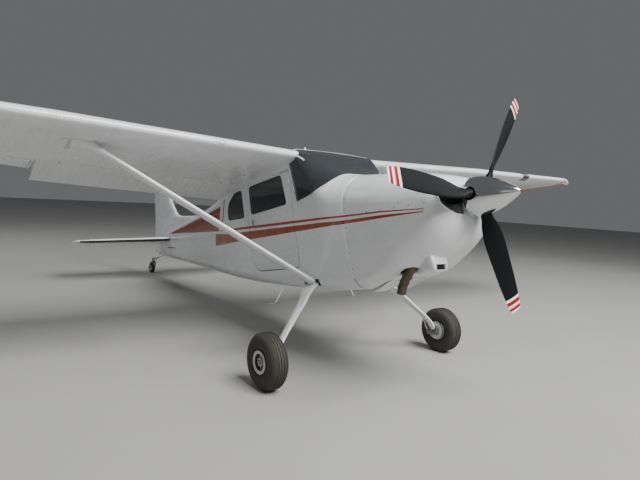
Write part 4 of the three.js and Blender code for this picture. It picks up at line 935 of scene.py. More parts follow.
def make_cabin(sizes):
    wall = shell_wall("cabin_skin", FIREWALL_X - 0.5, CABIN_END, WALL)
    boolean(wall, prism("cutter", WINDSCREEN, -720, 720))
    for tool in side_cutters(DOOR) + side_cutters(REAR_WINDOW):
        boolean(wall, tool)
    finish(bevel(wall, 1.6, 2, 50), "airframe", "fuselage", "cabin_shell")

    glazing = shell_wall("windscreen_pane", 150, -560, 7, -3)
    boolean(glazing, prism("cutter", inset(WINDSCREEN, 0.6), -720, 720), "INTERSECT")
    finish(glazing, "airframe", "glass", "windscreen")
    for key, outline, body, node in (("door_pane", DOOR_WINDOW, "door_{}", "door_window_{}"),
                                     ("rear_pane", REAR_WINDOW, "airframe", "rear_window_{}")):
        pane = shell_wall(key, -400, -2100, 7, -5)
        boolean(pane, prism("cutter", inset(outline, 0.6), 300, 700), "INTERSECT")
        both_sides(pane, key + "_{}", body, "glass", node)

    door = shell_wall("door", -400, -1500, WALL)
    boolean(door, prism("cutter", inset(DOOR, 9), 300, 700), "INTERSECT")
    boolean(door, prism("cutter", DOOR_WINDOW, 200, 800))
    both_sides(bevel(door, 2.4, 2, 50), "door_skin_{}", "door_{}", "fuselage", "cabin_door_{}")

    strip = outline_band("windscreen_strip", WINDSCREEN, 21, 1, 5, -720, 720)
    finish(bevel(strip, 0.8, 2, 50), "airframe", "white_plastic")
    for key, outline, body in (("door_window_frame", DOOR_WINDOW, "door_{}"),
                               ("rear_window_frame", REAR_WINDOW, "airframe")):
        frame_ring = outline_band(key, outline, 19, 2, 4.5, 300, 700, -400)
        both_sides(bevel(frame_ring, 1.8, 3, 50), key + "_{}", body, "fuselage")
        seal = outline_band(key + "_seal", outline, 1, 11, 0.5, 300, 700, -400)
        both_sides(seal, key + "_seal_{}", body, "seal")


def make_door_fittings(sizes):
    """Handles, hinges, pull cards and pockets of the two doors."""
    spot, normal = side_point(-1290, 1394)
    cup = spun("cup", [(0, 1.0), (26, 1.0), (30, 2.6), (33, 2.0), (34, -3)], (0, 0, 0), (0, 0, 1), 40)
    lever = block("lever", -46, 10, -7, 7, 2, 12)
    lever.data.transform(Matrix.Translation((0.006, 0, 0)))
    bevel(lever, 4, 4)
    pivot = rod("pivot", (0, 0, 0), (0, 0, 14), 9, 24)
    bevel(pivot, 1.5, 2)
    handle = merged("door_handle", lever, pivot)
    turn = normal.to_track_quat("Z", "Y").to_matrix().to_4x4()
    for piece in (cup, handle):
        moved(piece, Matrix.Translation(spot) @ turn @ Matrix.Rotation(math.radians(90), 4, "Z"))
    both_sides(cup, "door_handle_cup_{}", "door_{}", "alloy")
    both_sides(handle, "door_handle_{}", "door_{}", "polished")
    low, _ = side_point(-458.5, 1000)
    high, _ = side_point(-458.5, 1720)
    axis = (high - low).normalized()
    for body, reach, aft in (("airframe", (-6.5, 6.5), 24), ("door_{}", None, -24)):
        parts = []
        for base in (low, high):
            middle = base + Vector((0, 0.012, 0))
            spans = [reach] if reach else [(-26, -7.5), (7.5, 26)]
            for a, b in spans:
                parts.append(rod("barrel", (middle + axis * a * MM) / MM, (middle + axis * b * MM) / MM, 8,
                                 24))
                leaf = block("leaf", -458.5 + (4 if aft > 0 else aft - 14),
                             -458.5 + (aft + 14 if aft > 0 else -4), base.y / MM + 1, base.y / MM + 5,
                             base.z / MM + a, base.z / MM + b)
                parts.append(leaf)
            if reach:
                parts.append(rod("pin", (middle - axis * 0.029) / MM, (middle + axis * 0.029) / MM, 3.6, 16))
        hinge = bevel(merged("hinge", *parts), 0.9, 2, 50)
        both_sides(hinge, ("door_hinge_{}" if reach else "door_knuckle_{}"), body, "gear")
    card = shell_wall("card", -440, -1400, 5, -WALL - 0.5)
    boolean(card,
            prism("edge", inset([(-455, 830, 40), (-455, 1440, 30), (-1352, 1440, 30), (-1362, 830, 170)],
                                24), 200, 620), "INTERSECT")
    both_sides(bevel(card, 1.5, 2, 50), "door_card_{}", "door_{}", "trim")
    pocket = shell_wall("pocket", -440, -1400, 16, -WALL - 6)
    boolean(pocket, prism("edge", [(-640, 1000, 25), (-640, 1180, 25), (-1120, 1180, 25), (-1120, 1000, 25)],
                          200, 620), "INTERSECT")
    both_sides(bevel(pocket, 4, 3, 50), "door_pocket_{}", "door_{}", "carpet")


def make_tail_cone(sizes):
    cone = fuselage_body("tail_cone_skin", CABIN_END - 0.5, TAIL_END, 0)
    slot = block("slot", -5470, -5330, -300, 300, TAIL["z"] - 30, TAIL["z"] + 30)
    boolean(cone, bevel(slot, 22, 4))
    boolean(cone,
            block("bay", TAIL["hinge"] - 24, TAIL["hinge"] + 24, -300, 300, TAIL["z"] - 24, TAIL["z"] + 38))
    finish(bevel(cone, 3, 3, 50), "airframe", "fuselage", "tail_cone")
    # Black tubes half sunk into the skin are painted shade in the tail's lift slots.
    plate = []
    for sign in SIDES.values():
        path = [side_point(-5030 + 25 * k, 1437 - 2.8 * k, sign, -3.5)[0] / MM for k in range(21)]
        plate.append(tube("opening", path, 8, 12, [2] + [8] * 19 + [2]))
    finish(merged("tail_lift_slot_shade", *plate), "airframe", "black_plastic_and_shade")


def make_cowling(sizes):
    (x0, z0), (x1, z1) = COWL_SPLIT
    wall = fuselage_body("cowl", 1302, FIREWALL_X + 0.4, 0)
    boolean(wall, fuselage_body("core", 1302 - COWL_WALL, FIREWALL_X + 0.4, -COWL_WALL))
    boolean(wall, block("open", FIREWALL_X - 30, FIREWALL_X + 20, -419, 419, 578, 1632))
    boolean(wall, rod("shaft_hole", (1180, 0, 1258), (1400, 0, 1247), 90, 64))
    for sign in SIDES.values():
        flat = rounded(INLET, 8)
        cutter = loft("inlet", [[Vector((x, sign * p.x, p.y)) * MM for p in flat] for x in (1120, 1420)])
        boolean(wall, cutter)
        bay = block("bay", 268, 640, *sorted((sign * 50, sign * 240)), 480, 760)
        boolean(wall, bay)
    boolean(wall,
            plan_prism("exhaust_slot",
                       rounded([(912, -262, 52), (858, -324, 44), (776, -320, 44), (728, -262, 40),
                                (776, -205, 40), (908, -200, 30)]), 560, 860))
    upper = duplicate(wall, "upper")
    low_cut = prism("low", [(x0 + 80, z0, 0), (x1 - 60, z1, 0), (x1 - 60, 0, 0), (x0 + 80, 0, 0)], -800, 800)
    boolean(upper, low_cut, "DIFFERENCE", True)
    boolean(wall, low_cut, "INTERSECT")
    finish(bevel(upper, 2.2, 3, 50), "airframe", "cowl", "upper_cowl").name = "upper_cowl_skin"
    finish(bevel(wall, 2.2, 3, 50), "airframe", "cowl", "lower_cowl").name = "lower_cowl_skin"

    lips = []
    for sign in SIDES.values():
        flat = rounded(INLET, 8)
        rim = [math.hypot(p.x, p.y - PROP["z"] + 4) > 95 for p in flat]
        start = next(i for i in range(len(flat)) if rim[i] and not rim[i - 1])
        path = []
        for p in (flat[(start + i) % len(flat)] for i in range(sum(rim))):
            path.append((nose_front(sign * p.x, p.y) - 2, sign * p.x, p.y))
        lips.append(tube("lip", path, 9, 10))
    finish(merged("inlet_lips", *lips), "airframe", "cowl")
    baffle = block("baffle", 1090, 1096, -372, 372, 1010, 1420)
    boolean(baffle, fuselage_body("hull", 1200, 900, -COWL_WALL - 6), "INTERSECT")
    finish(bevel(baffle, 1), "airframe", "fork")
    fins = []
    for sign in SIDES.values():
        for k in range(16):
            z = 1112 + k * 13
            fins.append(block("fin", 1098, 1150, *sorted((sign * 140, sign * 330)), z, z + 3))
        fins.append(rod("barrel", (1120, sign * 235, 1085), (1120, sign * 235, 1330), 72, 32))
    finish(merged("cylinder_fins", *fins), "airframe", "steel")


def nose_front(y, z):
    """How far forward the nose reaches at a place seen from ahead."""
    x = 1302.0
    while x > 1000:
        ring = fuselage_ring(x, arc=12, side=10)
        if inside([(p.y / MM, p.z / MM) for p in ring], y, z):
            return x
        x -= 3
    return x


def inside(outline, u, v):
    hit = False
    j = len(outline) - 1
    for i, (a, b) in enumerate(outline):
        c, d = outline[j]
        if (b > v) != (d > v) and u < (c - a) * (v - b) / (d - b) + a:
            hit = not hit
        j = i
    return hit


def make_cowl_fittings(sizes):
    """Intake scoop, exhaust, cowl flaps and fasteners."""
    rings = []
    for x, half, low, high in ((1084, 84, 692, 772), (1076, 93, 684, 800), (1054, 100, 678, 860),
                               (1000, 100, 670, 870), (930, 84, 662, 870), (860, 64, 662, 840),
                               (790, 42, 680, 800), (730, 20, 712, 780)):
        outline = []
        for k in range(48):
            a = 2 * math.pi * k / 48
            c, s = math.cos(a), math.sin(a)
            outline.append(Vector((x, -155 + half * squared(c),
                                   (low + high) / 2 + (high - low) / 2 * squared(s))) * MM)
        rings.append(outline)
    scoop = loft("scoop", rings)
    mouth = prism("mouth", [(1010, 696, 0), (1010, 742, 0), (1200, 742, 0), (1200, 696, 0)], -214, -96)
    boolean(scoop, mouth)
    boolean(scoop, fuselage_body("hull", 1290, 500, -COWL_WALL + 2))
    boolean(scoop, rod("pipe_room", (884, -250, 820), (846, -268, 680), 54, 40))
    finish(bevel(scoop, 5, 4, 50), "airframe", "cowl", "intake_scoop", angle=50).name = "intake_scoop_skin"
    # The black filter close behind the mouth is a filter and also painted shade in the scoop's mouth.
    slats = [block("filter", 1064, 1068, -213, -97, 697, 741)]
    slats += [bevel(block("slat", 1067, 1071, -213, -97, 701 + 9 * k, 704 + 9 * k), 0.8) for k in range(5)]
    finish(merged("intake_filter_and_shade", *slats), "airframe", "black_plastic_and_shade")

    path = curve_points([(876, -250, 800), (871, -256, 768), (861, -263, 732), (841, -270, 694),
                         (811, -278, 650), (784, -289, 604), (766, -297, 556),
                         (752, -300, 512)], 5)
    pipe = tube("pipe", path, 39, 36, [39 + 6 * max(0, 1 - i / 16) for i in range(len(path))])
    bore = tube("bore", path[8:] + [path[-1] + (path[-1] - path[-2]) * 6], 35, 36)
    boolean(pipe, bore)
    joint = path[24]
    collar = [spun("collar", [(37, -7), (41.5, -7), (43, -5), (43, 5), (41.5, 7), (37, 7), (37, -7)], joint,
                   path[25] - joint, 36)]
    for k in (-1, 1):
        collar.append(rod("bolt", joint + Vector((0, -52, 4 * k)), joint + Vector((0, -39, 4 * k)), 4, 12))
    boolean(pipe, fuselage_body("hull", 1200, 500, -COWL_WALL - 24))
    finish(bevel(pipe, 0.6, 2, 60), "airframe", "burnt", "exhaust").name = "exhaust_pipe"
    finish(merged("exhaust_collars", *collar), "airframe", "burnt")

    for name, sign in SIDES.items():
        flap = shell_wall("flap_skin", 660, 300, 4, 0)
        boolean(flap, block("cut", 318, 633, *sorted((sign * 57, sign * 233)), 480, 760), "INTERSECT")
        edge = merged("flap_edge",
                      *[rod("edge", (326, sign * y, 566), (628, sign * y, 654), 5, 12) for y in (66, 224)])
        hinge = rod("hinge", (624, sign * 62, 653), (624, sign * 228, 653), 6, 16)
        piece = merged("piece", bevel(flap, 1, 2, 50), edge, hinge)
        turned(piece, Vector((624, 0, 653)) * MM, -6, "Y")
        finish(piece, "cowl_flap_" + name, "cowl", "cowl_flap_" + name).name = "cowl_flap_skin_" + name

    screws = []
    for sign in SIDES.values():
        screws += [side_point(x, z, sign, 0.2) for x,
                   z in ((443, 1236), (592, 1239), (750, 1232), (896, 1229), (1043, 1229), (1181, 1222))]
        screws += [side_point(FIREWALL_X + 12, z, sign, 0.2)
                   for z in (760, 900, 1019, 1131, 1286, 1400, 1510)]
    heads = domes("cowl_fasteners", screws, 6.5, 1.5, 12)
    finish(heads, "airframe", "steel")


def make_rivets(sizes):
    """Rows of rivet heads along the fuselage frames and stringers."""
    pitch, radius = sizes.rivet_pitch / MM, sizes.rivet_radius / MM
    spots = []
    for sign in SIDES.values():
        for x in (-1432, -1936, -2288, -2312, -2872, -3452, -4032, -4612, -5112, -5480):
            low, high = section_at(x)[1] + 70, section_at(x)[2] - 60
            for k in range(int((high - low) / pitch)):
                z = low + k * pitch
                if x > -1950 and 1440 < z < 1860:
                    continue
                spots.append(side_point(x, z, sign, 0.1))
        for rise in (0.24, 0.5, 0.78):
            x = -1450
            while x > -5450:
                row = section_at(x)
                z = row[1] + (row[2] - row[1]) * rise
                if not (x > -1960 and 1440 < z < 1860):
                    spots.append(side_point(x, z, sign, 0.1))
                x -= pitch
        for k in range(int(880 / pitch)):
            spots.append(side_point(270, 650 + k * pitch, sign, 0.1))
        x = 240
        while x > -430:
            for z in (700, 1010):
                spots.append(side_point(x, z, sign, 0.1))
            x -= pitch
        x = -470
        while x > -1340:
            spots.append(side_point(x, 776 + (-470 - x) * 0.03, sign, 0.1))
            x -= pitch
    finish(domes("fuselage_rivets", spots, radius, radius * 0.34), "airframe", "fuselage")


# Tail
FIN_ROWS = [(1700, -3560, 84), (1840, -3760, 84), (1905, -4250, 82), (1972, -4700, 80), (2030, -4850, 78),
            (2130, -4950, 74),
            (2330, -5120, 68), (2790, -5400, 58)]
RUDDER_ROWS = [(1352, -5640), (1392, -5890), (1470, -6060), (1590, -6130), (1760, -6060), (2100, -6010),
               (2500, -5996), (2690, -5930), (2798, -5850)]
RUDDER_HORN = [(2798, -5420, -5850, 50), (2880, -5450, -5780, 44), (2930, -5520, -5680, 30)]
STAB_ROWS = [(60, -4790, 96), (1420, -5150, 70)]
ELEVATOR_ROWS = [(118, -5930), (1420, -5860)]
ELEVATOR_HORN = [(1427, -5150, -5860, 68), (1570, -5180, -5840, 60), (1630, -5260, -5780, 40),
                 (1651, -5380, -5700, 16)]
RUDDER_HINGES = (1480, 2080, 2640)
ELEVATOR_HINGES = (400, 1200)


def foil(t, thickness):
    return 5 * thickness * (0.2969 * math.sqrt(t) - 0.126 * t - 0.3516 * t**2 + 0.2843 * t**3 - 0.1036 * t**4)


def fuller(rows, count):
    """The table with smooth rows added between its own."""
    rows = sorted(rows, key=lambda row: -row[0])
    columns = list(zip(*rows))
    first, last = columns[0][0], columns[0][-1]
    places = [first + (last - first) * i / count for i in range(count + 1)]
    places += [p for p in columns[0] if min(abs(p - q) for q in places) > abs(first - last) / count / 4]
    return [(p, *(monotone(columns[0], column, p) for column in columns[1:]))
            for p in sorted(places, reverse=True)]


def fin_ring(lead, trail, thickness, trail_half, place, steps=22):
    """A symmetric section with a full nose that runs straight to its trailing thickness."""
    peak = foil(0.3, thickness)
    half = []
    for i in range(steps + 1):
        t = (i / steps) ** 1.8
        rise = foil(t, thickness) if t < 0.3 else peak + (trail_half - peak) * (t - 0.3) / 0.7
        half.append((lead + (trail - lead) * t, rise))
    return [Vector(place(x, h)) * MM for x, h in half + [(x, -h) for x, h in half[:0:-1]]]


def bead(place, pitch, width):
    """Height of a pressed bead, 0 to 1, at a place along the span."""
    off = abs((place / pitch + 0.5) % 1 - 0.5) * pitch
    return 0.5 + 0.5 * math.cos(math.pi * off / width * 2) if off < width / 2 else 0.0


def wedge_ring(hinge, trail, radius, place, height=0.0, edge=3.0, steps=12):
    """A control surface's section: round nose on the hinge line, flat beaded sides, thin trailing edge."""
    length = hinge - trail
    points = []
    for i in range(steps):
        t = i / steps
        x = length + (radius * 0.35 - length) * t
        rise = edge + (radius * 0.96 - edge) * t
        swell = math.sin(math.pi * min(max((t - 0.1) / 0.72, 0), 1)) ** 0.5
        points.append((-x, rise + height * swell))
    for i in range(9):
        a = math.pi / 2 - math.pi * i / 8
        points.append((radius * math.cos(a), radius * math.sin(a)))
    points += [(x, -rise) for x, rise in points[steps - 1::-1]]
    return [Vector(place(x, h)) * MM for x, h in points]


def hinge_set(points, along, reach, arm_from):
    """Hinge arms with their pins; arm_from gives where an arm is rooted."""
    parts = []
    for p in points:
        p, axis = Vector(p), Vector(along).normalized()
        parts += [rod("arm", arm_from(p), p, 7, 16), rod("pin", p - axis * reach, p + axis * reach, 4.5, 16),
                  rod("eye", p - axis * 6.5, p + axis * 6.5, 11, 20)]
    return bevel(merged("hinges", *parts), 0.8, 2, 50)


def make_fin(sizes):
    hinge, nose = TAIL["rudder"], TAIL["nose"]
    rings = [fin_ring(lead, hinge, thick, nose, lambda x, h, z=z: (x, h, z)) for z, lead,
             thick in fuller(FIN_ROWS, 44)]
    fin = loft("fin_skin", rings)
    boolean(fin, rod("cove", (hinge, 0, 1200), (hinge, 0, 3100), nose + TAIL["cove"], 48))
    boolean(fin, fuselage_body("cone", CABIN_END - 600, TAIL_END, -6))
    finish(bevel(fin, 4, 3, 50), "airframe", "tail", "fin")
    finish(hinge_set([(hinge, 0, z) for z in RUDDER_HINGES], (0, 0, 1), 30,
                     lambda p: p + Vector((75, 0, 0))), "airframe", "steel").name = "fin_hinges"

    rings = []
    for z, trail in fuller(RUDDER_ROWS, 150):
        height = sizes.bead_height / MM * 0.7 * bead(z - 1500, 118, 56) * (1490 < z < 2740)
        rings.append(wedge_ring(0, trail - hinge, nose, lambda x, h, z=z: (hinge + x, h, z), height))
    rudder = loft("rudder_skin", rings)
    horn_rows = [(2952, -5570, -5640, 12)] + fuller(RUDDER_HORN, 12)
    horn = loft("horn", [fin_ring(lead, trail, thick, 4, lambda x, h, z=z: (x, h, z)) for z, lead, trail,
                         thick in horn_rows])
    for z in RUDDER_HINGES:
        boolean(rudder, bevel(block("slot", hinge - 14, hinge + 60, -60, 60, z - 13, z + 13), 3))
    skin = merged("rudder_skin", bevel(rudder, 2, 2, 60), bevel(horn, 3, 3, 50))
    finish(skin, "rudder", "tail", "rudder")
    balance = []
    for x in (-5500, -5640):
        for sign in (-1, 1):
            balance.append((Vector((x, sign * (21 if x > -5600 else 18), 2862)) * MM, Vector((0, sign, 0))))
    finish(domes("horn_screws", balance, 6, 1.6, 12), "rudder", "steel")
    back = hinge - 30
    arm = merged("arm", block("arm", back - 8, back + 8, -96, 96, 1376, 1384),
                 *[rod("eye", (back, y, 1370), (back, y, 1392), 9, 20) for y in (-86, 86)])
    finish(bevel(arm, 1.5, 2), "rudder", "steel").name = "rudder_horn_arm"
    finish(beacon((-5585, 0, 2934), 26), "rudder", "red_lens").name = "tail_beacon_lens"


def beacon(place, radius):
    return spun("lens", [(0, 34), (radius * 0.5, 32), (radius * 0.85, 22), (radius, 4), (radius, 0), (0, 0)],
                place, (0, 0, 1), 32)


def make_stabiliser(sizes):
    hinge, nose, height = TAIL["hinge"], TAIL["nose"], TAIL["z"]
    rings = []
    for y, lead, thick in fuller(STAB_ROWS, 14):
        rings.append(fin_ring(lead, hinge, thick, nose, lambda x, h, y=y: (x, y, height + h), 30))
    half = loft("half", rings)
    boolean(half, rod("cove", (hinge, 0, height), (hinge, 1700, height), nose + TAIL["cove"], 48))
    boolean(half, fuselage_body("cone", CABIN_END - 600, TAIL_END - 60, 9, 0))
    bevel(half, 3, 3, 60)
    other = mirrored(half, "other")
    finish(merged("stabiliser_skin", half, other), "stabiliser", "stabiliser", "stabiliser")
    tube_piece = bevel(rod("stabiliser_spar", (TAIL["spar"], -300, height), (TAIL["spar"], 300, height), 22,
                           32), 2)
    finish(tube_piece, "stabiliser", "alloy")
    spots = [(hinge, sign * y, height) for sign in (1, -1) for y in ELEVATOR_HINGES]
    finish(hinge_set(spots, (0, 1, 0), 30, lambda p: p + Vector((75, 0, 0))), "stabiliser", "steel").name = "stabiliser_hinges"

    rings = []
    for y, trail in fuller(ELEVATOR_ROWS, 170):
        bump = sizes.bead_height / MM * 0.8 * bead(y - 200, 108, 52) * (175 < y < 1360)
        rings.append(wedge_ring(0, trail - hinge, nose, lambda x, h, y=y: (hinge + x, y, height + h), bump))
    elevator = loft("elevator_skin", rings)
    caps = [fin_ring(lead, trail, thick, 3, lambda x, h, y=y: (x, y, height + h), 26) for y, lead, trail,
            thick in fuller(ELEVATOR_HORN, 16)]
    horn = bevel(loft("horn", caps), 3, 3, 50)
    join_rod = rod("join", (hinge, 1380, height), (hinge, 1450, height), 20, 32)
    room = plan_prism("room", [(-5300, -10), (-5300, 132), (-5535, 132), (-6100, 320), (-6100, -10)], 1000,
                      2000)
    boolean(elevator, room)
    for y in ELEVATOR_HINGES:
        boolean(elevator,
                bevel(block("slot", hinge - 14, hinge + 60, y - 13, y + 13, height - 60, height + 60), 3))
    half = merged("half", bevel(elevator, 2, 2, 60), horn, join_rod)
    skin = merged("elevator_skin", half, mirrored(half, "other"))
    finish(skin, "elevator", "elevator", "elevator")
    torque = merged("elevator_tube", rod("tube", (hinge, -180, height), (hinge, 180, height), 13, 32),
                    block("horn", hinge - 10, hinge + 10, -5, 5, height - 40, height))
    finish(bevel(torque, 1.5), "elevator", "steel")
    tab = block("elevator_tab", -5905, -5862, 560, 900, height - 4.5, height + 4.5)
    finish(bevel(tab, 2), "elevator", "tail")


# Wings
FLAP_HINGES = (820, 1660, 2500)
AILERON_HINGES = (2940, 3900, 4960)
LIGHT = {"inner": 3790, "outer": 3990, "depth": 105}
TIP_ROWS = [(0.3, 1, 1), (45, 0.997, 0.97), (90, 0.985, 0.86), (125, 0.97, 0.74), (150, 0.95, 0.6),
            (166, 0.925, 0.44), (176, 0.90, 0.28), (181, 0.86, 0.08)]
TIP_DROOP = 62


def wing_at(y):
    """Chord, leading-edge place and setting of the wing at a place along the span."""
    t = max(0, (y - WING["break"]) / (WING["tip"] - WING["break"]))
    twist = max(0, (y - WING["root"]) / (WING["tip"] - WING["root"]))
    chord = WING["root_chord"] + (WING["tip_chord"] - WING["root_chord"]) * t
    angle = math.radians(WING["root_incidence"] + (WING["tip_incidence"] - WING["root_incidence"]) * twist)
    return chord, WING["lead_x"] - WING["sweep"] * t, WING["lead_z"] + WING["rise"] * y, angle


def wing_point(y, fraction, height):
    chord, x, z, angle = wing_at(y)
    along = fraction * chord
    return Vector((x - along * math.cos(angle) - height * math.sin(angle), y,
                   z - along * math.sin(angle) + height * math.cos(angle)))


def camber(t):
    return (0.125 * (0.8 * t - t * t)) if t < 0.4 else 0.02 / 0.36 * (0.2 + 0.8 * t - t * t)


def wing_level(y, t, side, slim=1.0):
    chord = wing_at(y)[0]
    return (camber(t) + side * slim * (foil(t, WING["thickness"]) + 0.0015)) * chord


def skin_spot(y, fraction, side, proud=0.0):
    """A point on the wing's skin and the outward normal there."""
    at = wing_point(y, fraction, wing_level(y, fraction, side))
    near = wing_point(y, fraction + 0.01, wing_level(y, fraction + 0.01, side))
    along = (near - at).normalized()
    out = along.cross(Vector((0, 1, 0))) * side
    out = out if out.z * side > 0 else -out
    return (at + out * proud) * MM, out


def wing_ring(y, slim=1.0, steps=34):
    places = [(i / steps) ** 1.7 for i in range(1, steps + 1)]
    top = [wing_point(y, t, wing_level(y, t, 1, slim)) for t in reversed(places)]
    low = [wing_point(y, t, wing_level(y, t, -1, slim)) for t in places]
    return [p * MM for p in top + [wing_point(y, 0, 0)] + low]


def wing_body(name, places):
    return loft(name, [wing_ring(y) for y in places])


def skin_point(y, fraction, side, inset_by):
    chord = wing_at(y)[0]
    return wing_point(y, fraction,
                      (camber(fraction) + side * foil(fraction,
                                                      WING["thickness"])) * chord - side * inset_by)


def flap_hinge(y):
    return skin_point(y, 1 - FLAP["chord"], -1, 9)


def aileron_hinge(y):
    return skin_point(y, 1 - AILERON["chord"], 1, 9)


def plan_line(y, fraction):
    return wing_point(y, fraction, 0).x


def rear_prism(surface, offset):
    places = [(plan_line(surface[k], 1 - surface["chord"]) + offset, surface[k]) for k in ("inner", "outer")]
    return plan_prism("bay", [*places, (-3000, surface["outer"]), (-3000, surface["inner"])], 1500, 2600)


def rear_ring(y, front, raise_top, raise_low, lean=0.0, corner=9, steps=18):
    """Section of a flap or aileron: the wing's rear part from its front fraction, its front corners round."""
    chord = wing_at(y)[0]
    depth = wing_level(y, front, 1) - wing_level(y, front, -1)
    low_front = front + depth * lean / chord
    points = []
    for side, start, lift in ((1, front, raise_top), (-1, low_front, raise_low)):
        skin = []
        first = start + corner / chord
        for i in range(steps + 1):
            t = 1 - (1 - first) * i / steps
            part = (t - first) / (1 - first)
            swell = lift * math.sin(math.pi * min(max((part - 0.03) / 0.92, 0), 1)) ** 0.35
            skin.append(wing_point(y, t, wing_level(y, t, side) + side * swell))
        edge = wing_level(y, first, side)
        for a in (math.radians(d) for d in (30, 60, 90)):
            skin.append(wing_point(y, start + corner * (1 - math.sin(a)) / chord,
                                   edge - side * corner * (1 - math.cos(a))))
        points.append(skin)
    return [p * MM for p in points[0] + points[1][::-1]]


def surface_hinges(surface, places, hinge_at, rise):
    inner, outer = hinge_at(surface["inner"]), hinge_at(surface["outer"])
    spots = [inner.lerp(outer, (y - surface["inner"]) / (surface["outer"] - surface["inner"]))
             for y in places]
    return hinge_set(spots, outer - inner, 30, lambda p: p + Vector((60, 0, rise)))


def hinge_slots(piece, surface, places, hinge_at):
    inner, outer = hinge_at(surface["inner"]), hinge_at(surface["outer"])
    for y in places:
        p = inner.lerp(outer, (y - surface["inner"]) / (surface["outer"] - surface["inner"]))
        boolean(piece, bevel(block("slot", p.x - 16, p.x + 60, y - 13, y + 13, p.z - 60, p.z + 60), 3))
    return piece


def make_wings(sizes):
    places = [500, 566, 640] + [700 + 166 * k for k in range(28)] + [5290]
    wing = wing_body("wing", sorted(set(places + [WING["break"]])))
    boolean(wing, fuselage_body("hull", -200, -2290, -4))
    boolean(wing, rear_prism(FLAP, 14))
    boolean(wing, rear_prism(AILERON, 18))
    bevel(wing, 1.6, 2, 60)
    lit = duplicate(wing, "wing_skin_left")
    boolean(lit, plan_prism("light", light_corners(0), 1500, 2600))
    finish(lit, "airframe", "wing", "wing_left")
    plain = mirrored(wing, "wing_skin_right")
    bpy.data.objects.remove(wing)
    finish(plain, "airframe", "wing", "wing_right")

    rings = []
    for out, length, thickness in TIP_ROWS:
        y = WING["tip"] + out
        middle = wing_point(y, 0.45, 0).x * MM
        droop = TIP_DROOP * MM * (out / 181) ** 2
        rings.append([Vector((middle + (p.x - middle) * length, p.y, p.z - droop))
                      for p in wing_ring(y, thickness)])
    both_sides(loft("tip", rings), "wing_tip_skin_{}", "airframe", "tip", "wing_tip_{}")
    seam = []
    for side in (1, -1):
        for k in range(15):
            seam.append(skin_spot(WING["tip"] - 14, 0.05 + 0.062 * k, side, 0.1))
            seam.append(skin_spot(WING["tip"] + 14, 0.05 + 0.062 * k, side, 0.1))
    both_sides(domes("tip_screws", seam, 4.6, 1.1, 10), "wing_tip_screws_{}", "airframe", "steel")
    make_wing_lamps()

    hinges = merged("wing_hinges", surface_hinges(FLAP, FLAP_HINGES, flap_hinge, 18),
                    surface_hinges(AILERON, AILERON_HINGES, aileron_hinge, -18))
    both_sides(hinges, "wing_hinges_{}", "airframe", "steel")

    root = wing_point(1365, 0.0, 0)
    oval = Matrix.Translation(Vector((root.x - 2, 1365,
                                      root.z - 2)) * MM) @ Matrix.Diagonal((1, 1.7, 0.72, 1))
    scoop = spun("vent", [(19, 6), (24, 3), (27, -6), (27, -30), (19, -30), (19, 6)], (0, 0, 0), (1, 0, 0),
                 40)
    both_sides(moved(scoop, oval), "wing_vent_{}", "airframe", "wing")
    # A black dish deep in each vent is painted shade in the vent's mouth.
    dish = spun("dish", [(0, -21), (10, -20), (19.6, -18), (19.6, -26), (0, -26)], (0, 0, 0), (1, 0, 0), 40)
    both_sides(moved(dish, oval), "wing_vent_screen_{}", "airframe", "black_plastic_and_shade")

    spots = []
    pitch, radius = sizes.rivet_pitch / MM, sizes.rivet_radius / MM
    for y in (700, 980, 1420, 1860, 2300, 2690, 2730, 3140, 3570, 4000, 4430, 4860, 5270):
        chord = wing_at(y)[0]
        rear = 0.70 if y < 2700 else 0.73
        for side in (1, -1):
            if y == 4000 and side > 0:
                continue
            t = 0.06
            while t < rear:
                spots.append(skin_spot(y, t, side, 0.1))
                t += pitch / chord
    for fraction in (0.27, 0.66):
        for side in (1, -1):
            y = 660
            while y < 5260:
                spots.append(skin_spot(y, fraction, side, 0.1))
                y += pitch * 1.15
    both_sides(domes("wing_rivets", spots, radius, radius * 0.3), "wing_rivets_{}", "airframe", "wing")

    cap_at, up = skin_spot(1350, 0.3, 1, 0.0)
    cap = spun("cap", [(0, 5.5), (26, 5), (31, 3.5), (33, 1), (40, 0.8), (41, -2), (0, -2)], (0, 0, 0),
               (0, 0, 1), 40)
    tab = bevel(block("tab", -20, 20, -4, 4, 5, 10), 2)
    piece = merged("cap", cap, tab)
    moved(piece, Matrix.Translation(cap_at) @ up.to_track_quat("Z", "Y").to_matrix().to_4x4())
    both_sides(piece, "fuel_cap_{}", "airframe", "alloy")
    drain_at, down = skin_spot(780, 0.42, -1, 0.0)
    drain = rod("drain", drain_at / MM, (drain_at + down * 0.014) / MM, 6, 16)
    both_sides(bevel(drain, 1.5), "fuel_drain_{}", "airframe", "alloy")


def light_corners(gap):
    """Plan outline of the landing light's window in the wing, smaller by gap all round."""
    inner, outer = LIGHT["inner"] + gap, LIGHT["outer"] - gap
    back_inner, back_outer = (plan_line(LIGHT[end], 0) - LIGHT["depth"] + gap for end in ("inner", "outer"))
    return [(0, inner), (0, outer), (back_outer, outer), (back_inner, inner)]


